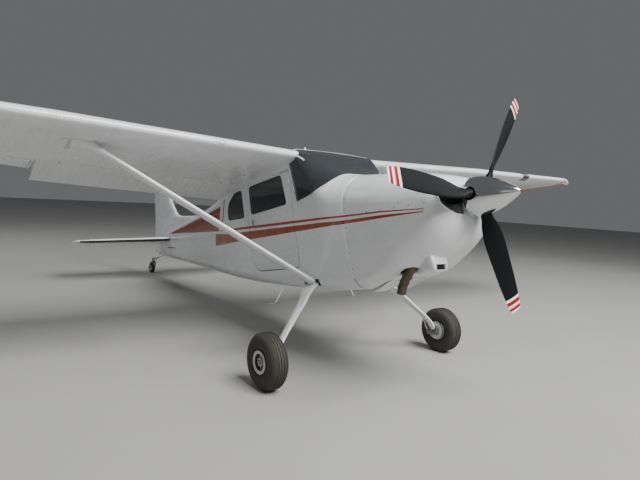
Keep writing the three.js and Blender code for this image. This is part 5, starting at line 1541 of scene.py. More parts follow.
def make_wing_lamps():
    """Landing light with two lamps, tip lights, pitot mast and stall vane."""
    lens = wing_body("lens", [3700 + 40 * k for k in range(11)])
    boolean(lens, plan_prism("edge", light_corners(0.6), 1500, 2600), "INTERSECT")
    rings = [[Vector((p.x - 0.004, p.y, p.z)) for p in wing_ring(y, 0.93)]
             for y in (3700, 3800, 3900, 4000, 4100)]
    hollow = loft("hollow", rings)
    inner, outer = LIGHT["inner"] + 4, LIGHT["outer"] - 4
    boolean(hollow, plan_prism("edge", [(0, inner), (0, outer), (-600, outer), (-600, inner)], 1500, 2600),
            "INTERSECT")
    boolean(lens, hollow)
    # The lens takes the tinted glazing, which darkens the lamp bay behind it as painted shade.
    finish(lens, "airframe", "glass", "landing_light").name = "landing_light_lens"
    lamps, glasses = [], []
    for y in (3842, 3938):
        at = wing_point(y, 0.055, 0)
        face = (at.x + 2, y, at.z + 2)
        lamps.append(spun("bowl", [(0, -34), (18, -31), (32, -18), (39, 0), (42, 0), (42, -4), (35, -22),
                                   (20, -36), (0, -38)], face, (1, 0, 0), 40))
        glasses.append(spun("face", [(0, 5), (20, 4), (38, 0.5), (38, -1.5), (0, -1.5)], face, (1, 0, 0),
                            40))
    finish(merged("landing_light_bowls", *lamps), "airframe", "polished")
    finish(merged("landing_light_faces", *glasses), "airframe", "lens")

    for side, sign in SIDES.items():
        at = wing_point(5446, 0.2, 0)
        spot = (at.x, sign * 5440, at.z - TIP_DROOP * 0.66)
        lamp = spun("lamp", [(0, 40), (9, 36), (15, 22), (17, 2), (17, -2), (0, -2)], spot,
                    (0.5, sign * 1.0, 0), 28)
        finish(lamp, "airframe", "red_lens" if sign > 0 else "green_lens").name = "tip_lamp_" + side
        base = spun("base", [(0, 2), (19, 1), (21, -3), (21, -14), (0, -14)], spot, (0.5, sign * 1.0, 0), 28)
        finish(base, "airframe", "alloy").name = "tip_lamp_base_" + side
    top = skin_point(3560, 0.16, -1, 0)
    mast_rings = []
    for drop, half, deep in ((-20, 9, 22), (60, 8, 19), (104, 7.5, 17)):
        mast_rings.append([Vector((top.x - drop * 0.09 + deep * math.cos(a),
                                   top.y + half * math.sin(a) * 0.8, top.z - drop)) * MM
                           for a in (2 * math.pi * k / 28 for k in range(28))])
    mast = loft("mast", mast_rings)
    probe = spun("probe", [(3, 148), (5, 150), (7, 140), (8, 100), (8, -16), (5, -24), (0, -26), (0, 136),
                           (3, 136), (3, 148)],
                 (top.x, top.y, top.z - 105), (1, 0, 0), 28)
    finish(merged("pitot_probe", bevel(mast, 1.5), probe), "airframe", "alloy", "pitot_mast")
    at = wing_point(2860, 0.0, 0)
    vane = merged("stall_vane", block("plate", at.x - 3, at.x + 3, 2838, 2882, at.z - 26, at.z - 4),
                  block("vane", at.x, at.x + 17, 2856, 2864, at.z - 16, at.z - 14.5))
    finish(bevel(vane, 0.7), "airframe", "alloy")


def make_flaps(sizes):
    rise, pitch, width = sizes.bead_height / MM, sizes.bead_pitch / MM, 22
    aileron_lean = math.tan(math.radians(AILERON["down"] + 2))
    for surface, key, front, lean, places, hinge_at in (
            (FLAP, "flap", 8, 0.0, FLAP_HINGES, flap_hinge),
            (AILERON, "aileron", 9.45, aileron_lean, AILERON_HINGES, aileron_hinge)):
        inner, outer = surface["inner"] + 7, surface["outer"] - 7
        count = int((outer - inner) / 5.5)
        rings = []
        for i in range(count + 1):
            y = inner + (outer - inner) * i / count
            start = 1 - surface["chord"] - front / wing_at(y)[0]
            lift = rise * bead(y - inner - pitch * 0.5, pitch, width) * (inner + 18 < y < outer - 18)
            rings.append(rear_ring(y, start, lift, lift, lean))
        piece = loft(key, rings)
        hinge_slots(piece, surface, places, hinge_at)
        bevel(piece, 1.0, 2, 60)
        if key == "flap":
            a, b = flap_hinge(FLAP["inner"]) * MM, flap_hinge(FLAP["outer"]) * MM
            turned(piece, a, -FLAP["rest"], b - a)
        both_sides(piece, key + "_skin_{}", key + "_{}", "flap", key + "_{}")


def make_struts(sizes):
    """Lift struts with their end fairings."""
    low, high = Vector(STRUT["low"]), Vector(STRUT["high"])
    def ring(t, scale, thick=1.0):
        p = low.lerp(high, t)
        half = []
        for i in range(17):
            u = (i / 16) ** 1.6
            half.append((0.3 - u * 0.98, foil(u, 1) / foil(0.3, 1)))
        chord, deep = STRUT["chord"] * scale, STRUT["half"] * scale * thick
        return [(p + Vector((u * chord, 0, h * deep))) * MM for u,
                h in half + [(u, -h) for u, h in half[:0:-1]]]
    strut = loft("strut", [ring(t, 0.99) for t in (0, 0.05, 0.25, 0.5, 0.75, 0.95, 1, 1.03)])
    boolean(strut, fuselage_body("hull", 0, -800, -8))
    wing_cut = wing_body("wing_cut", [1900, 2300, 2710, 3000])
    boolean(strut, wing_cut)
    both_sides(strut, "strut_skin_{}", "airframe", "gear", "wing_strut_{}")
    cuff_rows = [(0.90, 1.01, 1.0), (0.91, 1.06, 1.04), (0.92, 1.11, 1.12), (0.94, 1.17, 1.25),
                 (0.96, 1.27, 1.42), (0.98, 1.42, 1.65), (1.0, 1.62, 1.95), (1.02, 1.86, 2.3),
                 (1.035, 2.05, 2.6)]
    cuff = loft("cuff", [ring(t, s, k) for t, s, k in cuff_rows])
    boolean(cuff, wing_body("wing_cut", [1900, 2300, 2710, 3000]))
    both_sides(bevel(cuff, 1.5, 2, 60), "strut_top_cuff_{}", "airframe", "gear")
    at, out = skin_spot(2490, 0.214, -1, 0.0)
    plate = spun("plate", [(0, 3), (66, 2.4), (71, 0.8), (72, -3), (0, -3)], (0, 0, 0), (0, 0, 1), 56)
    facing = out.to_track_quat("Z", "X").to_matrix().to_4x4()
    moved(plate, Matrix.Translation(at) @ facing @ Matrix.Diagonal((0.8, 2.0, 1, 1)))
    both_sides(plate, "strut_top_plate_{}", "airframe", "wing")
    cuff_rows = [(-0.012, 1.14, 1.16), (0.012, 1.13, 1.14), (0.03, 1.08, 1.06), (0.05, 1.01, 1.01)]
    cuff = loft("cuff", [ring(t, s, k) for t, s, k in cuff_rows])
    boolean(cuff, fuselage_body("hull", 0, -800, -2))
    both_sides(bevel(cuff, 1.5, 2, 60), "strut_foot_cuff_{}", "airframe", "gear")


# Undercarriage
LEG_ROWS = [(660, -304, 412, 94, 14), (640, -300, 448, 90, 14), (588, -264, 540, 74, 13),
            (470, -200, 664, 54, 12), (330, -155, 812, 43, 11), (78, -78, 1034, 34, 9),
            (6, -62, 1048, 33, 8)]
TREAD = [(60, -80), (84, -81), (100, -80), (104, -74), (107, -69), (130, -78), (150, -86), (160, -88.5),
         (163, -88.2), (166, -88.8), (180, -89),
         (196, -87), (212, -81), (224, -73), (233, -64), (240.5, -55), (245, -46)]
TAIL_TREAD = [(46, -22), (52, -30), (58, -31), (66, -34), (76, -34.5), (86, -32), (94, -27), (100, -20)]
KINGPIN = {"x": -6372, "top": 302, "bottom": 242, "lean": 10}
FORK_DROP = 28


def from_ground(x, y, z):
    """Level place of a point given from the parked airframe's origin and the ground, in millimetres."""
    up = z - AXLE_Z / MM
    c, s = math.cos(PITCH), math.sin(PITCH)
    return Vector((x * c + up * s, y, -x * s + up * c))


def king_at(z):
    rise = (z - KINGPIN["bottom"]) / (KINGPIN["top"] - KINGPIN["bottom"])
    return from_ground(KINGPIN["x"] + rise * KINGPIN["lean"], 0, z)


def make_main_gear(sizes):
    axle = from_ground(-60, 0, AXLE_Z / MM)
    rings = []
    for z, x, y, wide, thin in fuller(LEG_ROWS, 30):
        ring = []
        for u, v in ((1, 0.7), (0.97, 1), (-0.97, 1), (-1, 0.7), (-1, -0.7), (-0.97, -1), (0.97, -1),
                     (1, -0.7)):
            ring.append(Vector((x + u * wide, y + v * thin * 0.89, z + v * thin * 0.45)) * MM)
        rings.append(ring)
    leg = loft("leg", rings)
    boolean(leg, fuselage_body("hull", 0, -500, -10))
    both_sides(bevel(leg, 1.2, 2, 25), "gear_leg_skin_{}", "airframe", "gear", "gear_leg_{}", angle=40)
    # A thin black rubber band at each leg's root is painted shade in the slot where the leg enters the
    # fuselage.
    slot = shell_wall("slot", 0, -600, 6, 1.6)
    boolean(slot, prism("edge", [(-428, 628, 10), (-428, 676, 16), (-176, 690, 16), (-176, 620, 10)], 300,
                        700), "INTERSECT")
    both_sides(bevel(slot, 0.8, 2, 50), "gear_leg_seal_{}", "airframe", "seal")
    plate = block("plate", axle.x - 48, axle.x + 48, 1036, 1054, axle.z - 48, axle.z + 48)
    bevel(plate, 8, 3)
    stub = [rod("stub", (axle.x, 1036, axle.z), (axle.x, 1150, axle.z), 22, 40),
            rod("tip", (axle.x, 1150, axle.z), (axle.x, 1232, axle.z), 19, 40)]
    for dx, dz in ((-34, -34), (-34, 34), (34, -34), (34, 34)):
        stub.append(rod("bolt", (axle.x + dx, 1028, axle.z + dz), (axle.x + dx, 1036, axle.z + dz), 8, 6))
        stub.append(rod("shank", (axle.x + dx, 1054, axle.z + dz), (axle.x + dx, 1061, axle.z + dz), 5, 16))
    both_sides(merged("axle", plate, *[bevel(one, 0.8) for one in stub]), "axle_stub_{}", "airframe",
               "steel")
    back = block("caliper", axle.x - 106, axle.x - 46, 1040, 1084, axle.z - 38, axle.z + 62)
    bevel(back, 9, 4)
    boolean(back, rod("disc_room", (axle.x, 1057, axle.z), (axle.x, 1077, axle.z), 99, 48))
    bits = [back]
    for dz in (-16, 14, 40):
        bits.append(bevel(rod("bolt", (axle.x - 78, 1033, axle.z + dz), (axle.x - 78, 1041, axle.z + dz),
                              6.5, 6), 0.7))
    bits.append(bevel(rod("cup", (axle.x - 76, 1026, axle.z + 12), (axle.x - 76, 1044, axle.z + 12), 21, 32),
                      2))
    both_sides(merged("caliper", *bits), "brake_caliper_{}", "airframe", "steel")
    line = [(axle.x - 76, 1022, axle.z + 22), (axle.x - 84, 1006, axle.z + 60),
            (axle.x - 78, 985, axle.z + 110), (-145, 820, 344), (-186, 640, 498), (-212, 532, 603),
            (-226, 470, 650)]
    path = curve_points(line, 10)
    hose = tube("hose", path, 4.5, 12)
    clips = []
    for i in (24, 32, 40, 48):
        half = (path[i + 1] - path[i]).normalized() * 5
        clips.append(rod("clip", path[i] - half, path[i] + half, 6.5, 12))
    both_sides(merged("line", hose, *clips), "brake_line_{}", "airframe", "gear")

    groove = sizes.tread_depth / MM
    crown = []
    for middle in (-39, -13, 13, 39):
        top = 248.4 - abs(middle) * 0.03
        crown += [(top, middle - 6.5), (top - groove, middle - 4.5), (top - groove, middle + 4.5),
                  (top, middle + 6.5)]
    other_wall = [(r, -y) for r, y in TREAD[-2::-1]] + [TREAD[0]]
    profile = TREAD[:-1] + [(244.6, -49)] + crown + [(244.6, 49)] + other_wall
    hub_profile = [(22.5, -104), (60, -104), (92, -103), (92, -95), (46, -94), (46, -76), (70, -76),
                   (96, -82), (101, -83), (103, -80), (98, -75), (84, -66), (60, -60),
                   (60, 60), (84, 66), (98, 75), (103, 80), (101, 84), (96, 86), (76, 83), (72, 79),
                   (69, 62), (58, 54), (40, 54), (36, 60),
                   (35, 74), (31, 78), (22.5, 78), (22.5, -104)]
    for side, sign in SIDES.items():
        centre = Vector((axle.x, sign * 1170, axle.z))
        body = "wheel_" + side
        tyre = spun("tyre_rubber_" + side, profile, centre, (0, sign, 0), 96)
        finish(tyre, body, "tyre", "tyre_" + side, angle=40)
        hub = bevel(spun("hub", hub_profile, centre, (0, sign, 0), 72), 0.8, 2, 50)
        parts = [hub]
        for k in range(6):
            a = 2 * math.pi * k / 6
            spot = Vector((axle.x + 86 * math.cos(a), 0, axle.z + 86 * math.sin(a)))
            parts.append(bevel(rod("nut", spot + Vector((0, sign * 1250, 0)),
                                   spot + Vector((0, sign * 1259, 0)), 6, 6), 0.7))
            rib = bevel(block("rib", 33, 72, *sorted((sign * 52, sign * 68)), -5, 5), 1.5)
            parts.append(moved(rib, Matrix.Translation(centre * MM) @ Matrix.Rotation(a + 0.52, 4, "Y")))
        stem_a = math.radians(64)
        stem = Vector((axle.x + 62 * math.cos(stem_a), 0, axle.z + 62 * math.sin(stem_a)))
        parts.append(bevel(rod("valve", stem + Vector((0, sign * 1222, 0)),
                               stem + Vector((0, sign * 1256, 0)), 4, 16), 0.8))
        finish(merged("wheel_rim_" + side, *parts), body, "rim", "wheel_hub_" + side)
        web = spun("web", [(36, 57), (57, 57), (67.5, 64), (69.5, 77), (70.5, 77), (70, 60), (60, 52),
                           (36, 52), (36, 57)], centre, (0, sign, 0), 72)
        finish(web, body, "dark_steel").name = "wheel_dish_" + side
        cap = spun("cap", [(0, 88), (14, 87.5), (20, 86), (24, 82), (24.5, 76), (0, 76)], centre,
                   (0, sign, 0), 48)
        finish(cap, body, "steel").name = "axle_cap_" + side


def make_tail_gear(sizes):
    path = [from_ground(x, 0, z) for x, z in ((-5540, 464), (-5560, 462), (-5820, 428), (-6080, 362),
                                              (-6270, 296), (-6345, 272), (-6372, 262))]
    spring = curve_points(path, 12)
    for name, along, wide, rise, low in (("main_leaf", spring, 22, 4, -5),
                                         ("second_leaf", spring[:40], 21.5, -5.2, -10)):
        rings = []
        for i, p in enumerate(along):
            way = (along[min(i + 1, len(along) - 1)] - along[max(i - 1, 0)]).normalized()
            up = way.cross(Vector((0, 1, 0)))
            up = up if up.z > 0 else -up
            rings.append([(p + Vector((0, y * wide, 0)) + up * h) * MM for y,
                          h in ((-1, rise - 1), (-0.94, rise), (0.94, rise), (1, rise - 1), (1, low + 1),
                                (0.94, low), (-0.94, low), (-1, low + 1))])
        leaf = loft(name, rings)
        finish(leaf, "airframe", "gear", "tail_spring"
               if name == "main_leaf" else None).name = "tail_" + name
    clamp = spring[40]
    strap = block("strap", clamp.x - 9, clamp.x + 9, -27, 27, clamp.z - 15, clamp.z + 9)
    finish(bevel(strap, 2.5, 3), "airframe", "steel").name = "tail_spring_clamp"
    low, high = king_at(KINGPIN["bottom"]), king_at(KINGPIN["top"])
    axis = (high - low).normalized()
    housing = spun("kingpin_housing", [(17.6, -1), (30, -1), (33, 3), (32, 8), (26, 14), (25, 46), (30, 52),
                                       (33, 56), (32, 61), (17.6, 61), (17.6, -1)], low, axis, 48)
    finish(bevel(housing, 0.8, 2, 50), "airframe", "steel")
    crown = king_at(KINGPIN["bottom"] - FORK_DROP)
    axle = from_ground(-6440, 0, 103.7)
    parts = []
    for sign in (-1, 1):
        rings = []
        way = (axle - crown).normalized()
        side = Vector((way.z, 0, -way.x))
        for t, wide, deep in ((-0.14, 10, 5), (-0.05, 18, 7), (0.1, 19, 7), (0.5, 16, 6.5), (0.85, 15, 6),
                              (1.0, 16, 6), (1.08, 13, 5.5), (1.12, 7, 4)):
            p = crown.lerp(axle, t)
            rings.append([(p + side * wide * squared(math.cos(a))
                           + Vector((0, sign * 54 + deep * squared(math.sin(a)), 0))) * MM
                          for a in (2 * math.pi * k / 24 for k in range(24))])
        parts.append(loft("arm", rings))
    parts.append(bevel(rod("bridge", crown + Vector((0, -60, 0)), crown + Vector((0, 60, 0)), 15, 32), 3, 3))
    parts.append(rod("pin", crown, king_at(KINGPIN["top"] + 8), 17, 40))
    parts.append(bevel(rod("pin_nut", king_at(KINGPIN["top"] + 2), king_at(KINGPIN["top"] + 12), 20, 6),
                       1.2))
    parts.append(rod("axle", axle + Vector((0, -63, 0)), axle + Vector((0, 63, 0)), 9, 24))
    for sign in (-1, 1):
        parts.append(bevel(rod("nut", axle + Vector((0, sign * 60, 0)), axle + Vector((0, sign * 69, 0)), 13,
                               6), 1))
    finish(merged("tail_fork_frame", *parts), "tail_fork", "fork", "tail_fork")
    level_pin = king_at(KINGPIN["bottom"] - 12)
    steer = merged("steering_arm",
                   spun("collar", [(18, -6), (25, -6), (25, 6), (18, 6), (18, -6)], level_pin, axis, 32),
                   block("arm", level_pin.x - 9, level_pin.x + 9, -74, 74, level_pin.z - 3, level_pin.z + 3))
    finish(bevel(steer, 1, 2, 50), "tail_fork", "steel")

    groove = 3
    profile = TAIL_TREAD + [(104, -13), (104.6, -9), (104.6 - groove, -7.5), (104.6 - groove, -5),
                            (105, -3.5), (105, 3.5), (104.6 - groove, 5), (104.6 - groove, 7.5), (104.6, 9),
                            (104, 13)] \
        + [(r, -y) for r, y in TAIL_TREAD[::-1]] + [TAIL_TREAD[0]]
    finish(spun("tail_tyre_rubber", profile, axle, (0, 1, 0), 72), "tail_wheel", "tyre", "tail_tyre",
           angle=40)
    hub_profile = [(9.4, -34), (22, -34), (24, -30), (24, -20), (32, -16), (42, -24), (47, -31), (50, -29),
                   (46, -20), (46, 20), (50, 29), (47, 31), (42, 24), (32, 16),
                   (24, 20), (24, 30), (22, 34), (9.4, 34), (9.4, -34)]
    finish(bevel(spun("tail_wheel_rim", hub_profile, axle, (0, 1, 0), 56), 0.6, 2, 50), "tail_wheel", "rim",
           "tail_wheel_hub")


# Propeller
BLADE_ROWS = [(46, 76, 76, 50), (90, 82, 80, 50), (150, 88, 80, 48), (200, 100, 66, 45), (240, 126, 50, 41),
              (310, 156, 37, 35), (450, 182, 27, 26), (700, 180, 17, 17),
              (900, 158, 11, 13), (1000, 132, 8, 11), (1028, 122, 6.5, 10.5), (1039, 104, 5, 10),
              (1044, 72, 4, 10)]
SPINNER = [(-54, 0.985), (-30, 0.995), (-10, 1), (25, 0.975), (60, 0.93), (105, 0.855), (150, 0.76),
           (195, 0.64), (240, 0.5), (278, 0.36), (310, 0.24), (330, 0.145), (341, 0.07), (345, 0)]


def make_propeller(sizes):
    tilt = Matrix.Rotation(math.radians(PROP["down_thrust"]), 4, "Y")
    to_level = Matrix.Translation(Vector((PROP["x"], 0, PROP["z"])) * MM) @ tilt
    rings = []
    for radius, chord, thick, angle in fuller(BLADE_ROWS, 70):
        turn = math.radians(angle)
        round_part = min(max((250 - radius) / 140, 0), 1)
        round_part = round_part * round_part * (3 - 2 * round_part)
        ring = []
        for k in range(40):
            a = 2 * math.pi * k / 40
            along = math.cos(a) / 2
            t = 0.5 - along
            bow = foil(min(max(t, 0), 1), 1) * 2
            face = 0 if abs(math.sin(a)) <= 1e-6 else 1.0 if math.sin(a) > 0 else -0.55
            up = face * bow * 0.92 + 0.12 * (1 - (2 * along) ** 2)
            up = up * (1 - round_part) + math.sin(a) * round_part
            along = along * chord
            back = up * thick / 2
            ring.append(Vector((along * math.sin(turn) + back * math.cos(turn), radius,
                                along * math.cos(turn) - back * math.sin(turn))) * MM)
        rings.append(ring)
    blade = loft("blade", rings)
    cuff = spun("clamp", [(28, 40), (44, 42), (48, 50), (48, 74), (44, 82), (34, 84), (28, 40)], (0, 0, 0),
                (0, 1, 0), 40)
    blades, clamps = [], []
    for k in range(3):
        turn = to_level @ Matrix.Rotation(math.radians(PROP["phase"] + 120 * k), 4, "X")
        blades.append(moved(duplicate(blade, "blade"), turn))
        clamps.append(moved(duplicate(cuff, "clamp"), turn))
    bpy.data.objects.remove(blade)
    bpy.data.objects.remove(cuff)
    finish(merged("propeller_blades", *blades), "propeller", "blade", "propeller")
    hub = spun("hub", [(38, -70), (78, -70), (90, -62), (92, -50), (92, 40), (80, 58), (30, 60), (30, 20),
                       (38, -15), (38, -70)], (0, 0, 0), (1, 0, 0), 64)
    shell = merged("propeller_hub", moved(hub, to_level), *clamps)
    finish(shell, "propeller", "steel")

    outline = [(PROP["spinner"] * part, x) for x, part in SPINNER]
    inner = [(max(r - 5, 0), x - 3) for r, x in outline[::-1]]
    skin = spun("spinner_skin", outline + inner + [outline[0]], (0, 0, 0), (1, 0, 0), 96)
    for k in range(3):
        a = math.radians(PROP["phase"] + 120 * k)
        hole = rod("hole", (0, 92 * math.cos(a), 92 * math.sin(a)),
                   (0, 260 * math.cos(a), 260 * math.sin(a)), 54, 48)
        boolean(skin, hole)
    moved(skin, to_level)
    finish(bevel(skin, 0.8, 2, 60), "propeller", "polished", "spinner")
    plate = spun("plate", [(40, -58), (154, -58), (157, -55), (157, -48), (150, -48), (40, -50), (40, -58)],
                 (0, 0, 0), (1, 0, 0), 96)
    finish(moved(plate, to_level), "propeller", "alloy").name = "spinner_backplate"
    spots = []
    for k in range(24):
        a = math.radians(PROP["phase"] + 60 + 15 * k)
        if min(abs((math.degrees(a) - PROP["phase"] - 120 * j + 180) % 360 - 180) for j in range(3)) < 26:
            continue
        normal = Vector((0.02, math.cos(a), math.sin(a)))
        spot = Vector((-26 * MM, 0.1595 * math.cos(a), 0.1595 * math.sin(a)))
        spots.append((to_level @ spot, (to_level.to_3x3() @ normal).normalized()))
    finish(domes("spinner_screws", spots, 4.4, 1.6, 12), "propeller", "steel")


# Cabin inside
SEATS = {"seat_front_left": (250, -760, 225), "seat_front_right": (-250, -760, 225),
         "seat_rear": (0, -1560, 410)}


def floor_line(x):
    return 655 + max(0, -500 - x) * 0.115


def make_cabin_floor(sizes):
    floor = prism("floor", [(288, 620, 0), (288, floor_line(0), 0), (-500, floor_line(-500), 0),
                            (-2292, floor_line(-2292), 0), (-2292, floor_line(-2292) - 30, 0),
                            (-500, 620, 0)], -700, 700)
    boolean(floor, fuselage_body("room", 288, -2292, -WALL - 1), "INTERSECT")
    finish(bevel(floor, 3), "airframe", "carpet", "cabin_floor").name = "cabin_carpet"
    rails, boxes = [], []
    for y, x, half in list(SEATS.values())[:2]:
        low = floor_line(x)
        for side in (-1, 1):
            rails.append(bevel(block("rail", x - 330, x + 300, y + side * (half - 70) - 14,
                                     y + side * (half - 70) + 14, low - 6, low + 18), 4, 3))
            for end in (-150, 150):
                rails.append(bevel(rod("leg", (x + end, y + side * (half - 70), low + 10),
                                       (x + end * 0.8, y + side * (half - 76), 892), 13, 24), 1))
            rails.append(bevel(rod("cross", (x - 150, y + side * (half - 76), 800),
                                   (x + 150, y + side * (half - 76), 800), 9, 20), 1))
        rails.append(bevel(rod("bar", (x + 130, y - half + 76, 850), (x + 130, y + half - 76, 850), 10, 20),
                           1))
        boxes.append(bevel(block("pan", x - 200, x + 200, y - half + 40, y + half - 40, 878, 899), 6, 3))
    finish(merged("seat_rails", *rails), "airframe", "alloy")
    y, x, half = SEATS["seat_rear"]
    boxes.append(bevel(block("bench", x - 190, x + 190, -half + 50, half - 50, floor_line(x) - 40, 899), 10,
                       4))
    finish(merged("seat_pans", *boxes), "airframe", "trim")
    wall = shell_wall("side_panel", -1400, -2290, 4, -WALL - 1)
    for tool in side_cutters(inset(REAR_WINDOW, -8), 200):
        boolean(wall, tool)
    boolean(wall, block("under", -2300, -1390, -700, 700, 500, 860))
    finish(bevel(wall, 1), "airframe", "trim").name = "cabin_side_panels"
    liner = shell_wall("headliner", -420, -2290, 5, -WALL - 1)
    boolean(liner, block("low", -2310, -400, -700, 700, 500, 1945), "DIFFERENCE")
    finish(liner, "airframe", "white_plastic")
    bulkhead = fuselage_body("aft_bulkhead", -2270, -2284, -WALL - 1)
    finish(bevel(bulkhead, 2), "airframe", "trim")


def make_panel(sizes):
    """Instrument panel, glareshield, control wheels and pedals."""
    slab = block("slab", -104, -92, -700, 700, 1270, 1668)
    boolean(slab, fuselage_body("room", 100, -300, -WALL - 3), "INTERSECT")
    finish(bevel(slab, 3, 3), "airframe", "panel", "instrument_panel").name = "panel_face"
    shield = loft("shield",
                  [[Vector((x, y, z - 16 * (y / 400) ** 2 + h)) * MM for y,
                    h in [(-430 + 43 * i, 0) for i in range(21)] + [(430 - 43 * i, -16) for i in range(21)]]
                             for x, z in ((60, 1610), (0, 1640), (-60, 1668), (-110, 1684), (-128, 1680),
                                          (-132, 1672))])
    boolean(shield, fuselage_body("room", 280, -300, -WALL - 3), "INTERSECT")
    finish(bevel(shield, 3, 3, 50), "airframe", "panel").name = "glareshield"
    rings, faces, knobs = [], [], []
    big = [(y, z) for z in (1590, 1490) for y in (120, 220, 320)]
    small = [(-330 + 66 * i, 1620) for i in range(3)] + [(-330 + 66 * i, 1552) for i in range(3)]
    for spots, r in ((big, 40), (small, 26)):
        for y, z in spots:
            rings.append(spun("ring", [(r - 5, 0), (r - 3, 5), (r, 5), (r + 2, 0), (r - 5, 0)], (-104, y, z),
                              (-1, 0, 0), 36))
            faces.append(spun("face", [(0, 1.5), (r - 4, 1.5), (r - 4, -1), (0, -1)], (-104, y, z),
                              (-1, 0, 0), 36))
    stack = [bevel(block("radio", -114, -100, -70, 60, 1600 - 52 * k, 1644 - 52 * k), 3, 3)
             for k in range(5)]
    for k in range(5):
        for y in (-58, 48):
            knobs.append(bevel(rod("knob", (-112, y, 1622 - 52 * k), (-126, y, 1622 - 52 * k), 8, 20), 1.5))
    for i in range(9):
        knobs.append(bevel(rod("switch", (-100, 100 + 30 * i, 1330), (-116, 100 + 30 * i, 1334), 4, 12), 1))
    for y, r in ((-30, 15), (10, 13), (48, 15)):
        knobs.append(bevel(rod("stem", (-100, y, 1310), (-150, y, 1310), 4, 12), 1))
        knobs.append(bevel(rod("grip", (-150, y, 1310), (-170, y, 1310), r, 28), 4, 3))
    finish(merged("dial_rims", *rings), "airframe", "black_plastic_and_shade")
    finish(merged("dial_faces", *faces), "airframe", "dial")
    finish(merged("radio_stack", *stack), "airframe", "black_plastic_and_shade")
    finish(merged("panel_knobs", *knobs), "airframe", "alloy")
    for side, sign in SIDES.items():
        y = sign * 255
        shaft = bevel(rod("shaft", (-70, y, 1400), (-300, y, 1390), 12, 28), 1)
        collar = spun("collar", [(13, -2), (24, 0), (26, 5), (20, 10), (13, 10), (13, -2)],
                      (-104, y, 1398.5), (-1, 0, 0), 32)
        finish(merged("yoke_shaft_" + side, shaft, collar), "airframe", "steel")
        path = curve_points([(-314, y - 150, 1492), (-311, y - 152, 1470), (-302, y - 137, 1408),
                             (-297, y - 90, 1390), (-296, y, 1388), (-297, y + 90, 1390),
                             (-302, y + 137, 1408),
                             (-311, y + 152, 1470), (-314, y + 150, 1492)], 6)
        count = len(path) - 1
        grip = tube("grip", path, 13, 20,
                    [13 + 3 * (abs(i - count / 2) > count * 0.3) for i in range(count + 1)])
        boss = bevel(block("boss", -318, -286, y - 36, y + 36, 1366, 1412), 9, 4)
        finish(merged("yoke_" + side, bevel(grip, 2, 2, 60), boss), "airframe", "black_plastic_and_shade")
        pedals = []
        for off in (-70, 70):
            pedals.append(bevel(block("pedal", 120, 128, y + off - 38, y + off + 38, 740, 860), 4, 3))
            pedals.append(bevel(rod("arm", (130, y + off, 760), (150, y + off, 680), 8, 16), 1))
        finish(merged("rudder_pedals_" + side, *pedals), "airframe", "steel")
    compass = merged("compass", bevel(block("case", -60, -10, -24, 24, 1700, 1750), 8, 3),
                     bevel(rod("foot", (-35, 0, 1672), (-35, 0, 1702), 8, 20), 1))
    finish(compass, "airframe", "black_plastic_and_shade")


def seat_shape(name, y, x, half, shrink):
    """Base and back of one seat as rounded blocks inside the frame's seat."""
    base = [(x - 262 + shrink, 900 + shrink, 30), (x + 245 - shrink, 900 + shrink, 40),
            (x + 250 - shrink, 1008 - shrink, 45), (x - 150, 1000 - shrink, 45),
            (x - 270 - shrink, 1558 - shrink, 60), (x - 396 + shrink, 1540 - shrink, 50)]
    piece = prism(name, base, y - half + shrink, y + half - shrink, 5)
    boolean(piece, fuselage_body("room", x + 300, x - 450, -WALL - 7 - shrink), "INTERSECT")
    return piece


# The cushions' cloth runs this many frames and swells by no more than this many metres
PUFF_FRAMES = 14
PUFF_LIMIT = 0.010


def make_seats(sizes):
    for name, (y, x, half) in SEATS.items():
        shell = seat_shape(name + "_cushion", y, x, half, 12)
        only(shell)
        shell.data.remesh_voxel_size = 0.014
        bpy.ops.object.voxel_remesh()
        puff = shell.modifiers.new("puff", "CLOTH")
        puff.settings.quality = 5
        puff.settings.mass = 0.3
        puff.settings.tension_stiffness = puff.settings.compression_stiffness = 40
        puff.settings.shear_stiffness = 20
        puff.settings.bending_stiffness = 2
        puff.settings.use_pressure = True
        puff.settings.uniform_pressure_force = 4
        puff.settings.effector_weights.gravity = 0
        puff.point_cache.frame_start, puff.point_cache.frame_end = 1, PUFF_FRAMES
        before = [v.co.copy() for v in shell.data.vertices]
        for number in range(1, PUFF_FRAMES + 1):
            bpy.context.scene.frame_set(number)
        only(shell)
        bpy.ops.object.modifier_apply(modifier=puff.name)
        bpy.context.scene.frame_set(1)
        for v, old in zip(shell.data.vertices, before):
            shift = v.co - old
            if shift.length > PUFF_LIMIT:
                v.co = old + shift.normalized() * PUFF_LIMIT
        soften = shell.modifiers.new("soften", "SMOOTH")
        soften.factor, soften.iterations = 0.5, 6
        only(shell)
        bpy.ops.object.modifier_apply(modifier=soften.name)
        channel_seat(shell, y, half)
        round_ = shell.modifiers.new("round", "SUBSURF")
        round_.levels = round_.render_levels = 1
        only(shell)
        bpy.ops.object.modifier_apply(modifier=round_.name)
        finish(shell, "airframe", "seat", name, angle=60)
        make_seat_fittings(name, y, x, half)


def channel_seat(piece, y, half):
    """Presses the sewn channels into the cushion and back."""
    pitch = 75.0
    for v in piece.data.vertices:
        p = v.co / MM
        off = (p.y - y) / pitch
        off = abs(off - round(off)) * pitch
        edge = half - 40 - abs(p.y - y)
        if edge < 0:
            continue
        depth = 5.5 * math.exp(-(off / 7) ** 2) * min(edge / 30, 1)
        n = v.normal
        if n.z > 0.6 and p.z < 1060 or n.x > 0.6 and p.z > 1040:
            v.co -= n * depth * MM


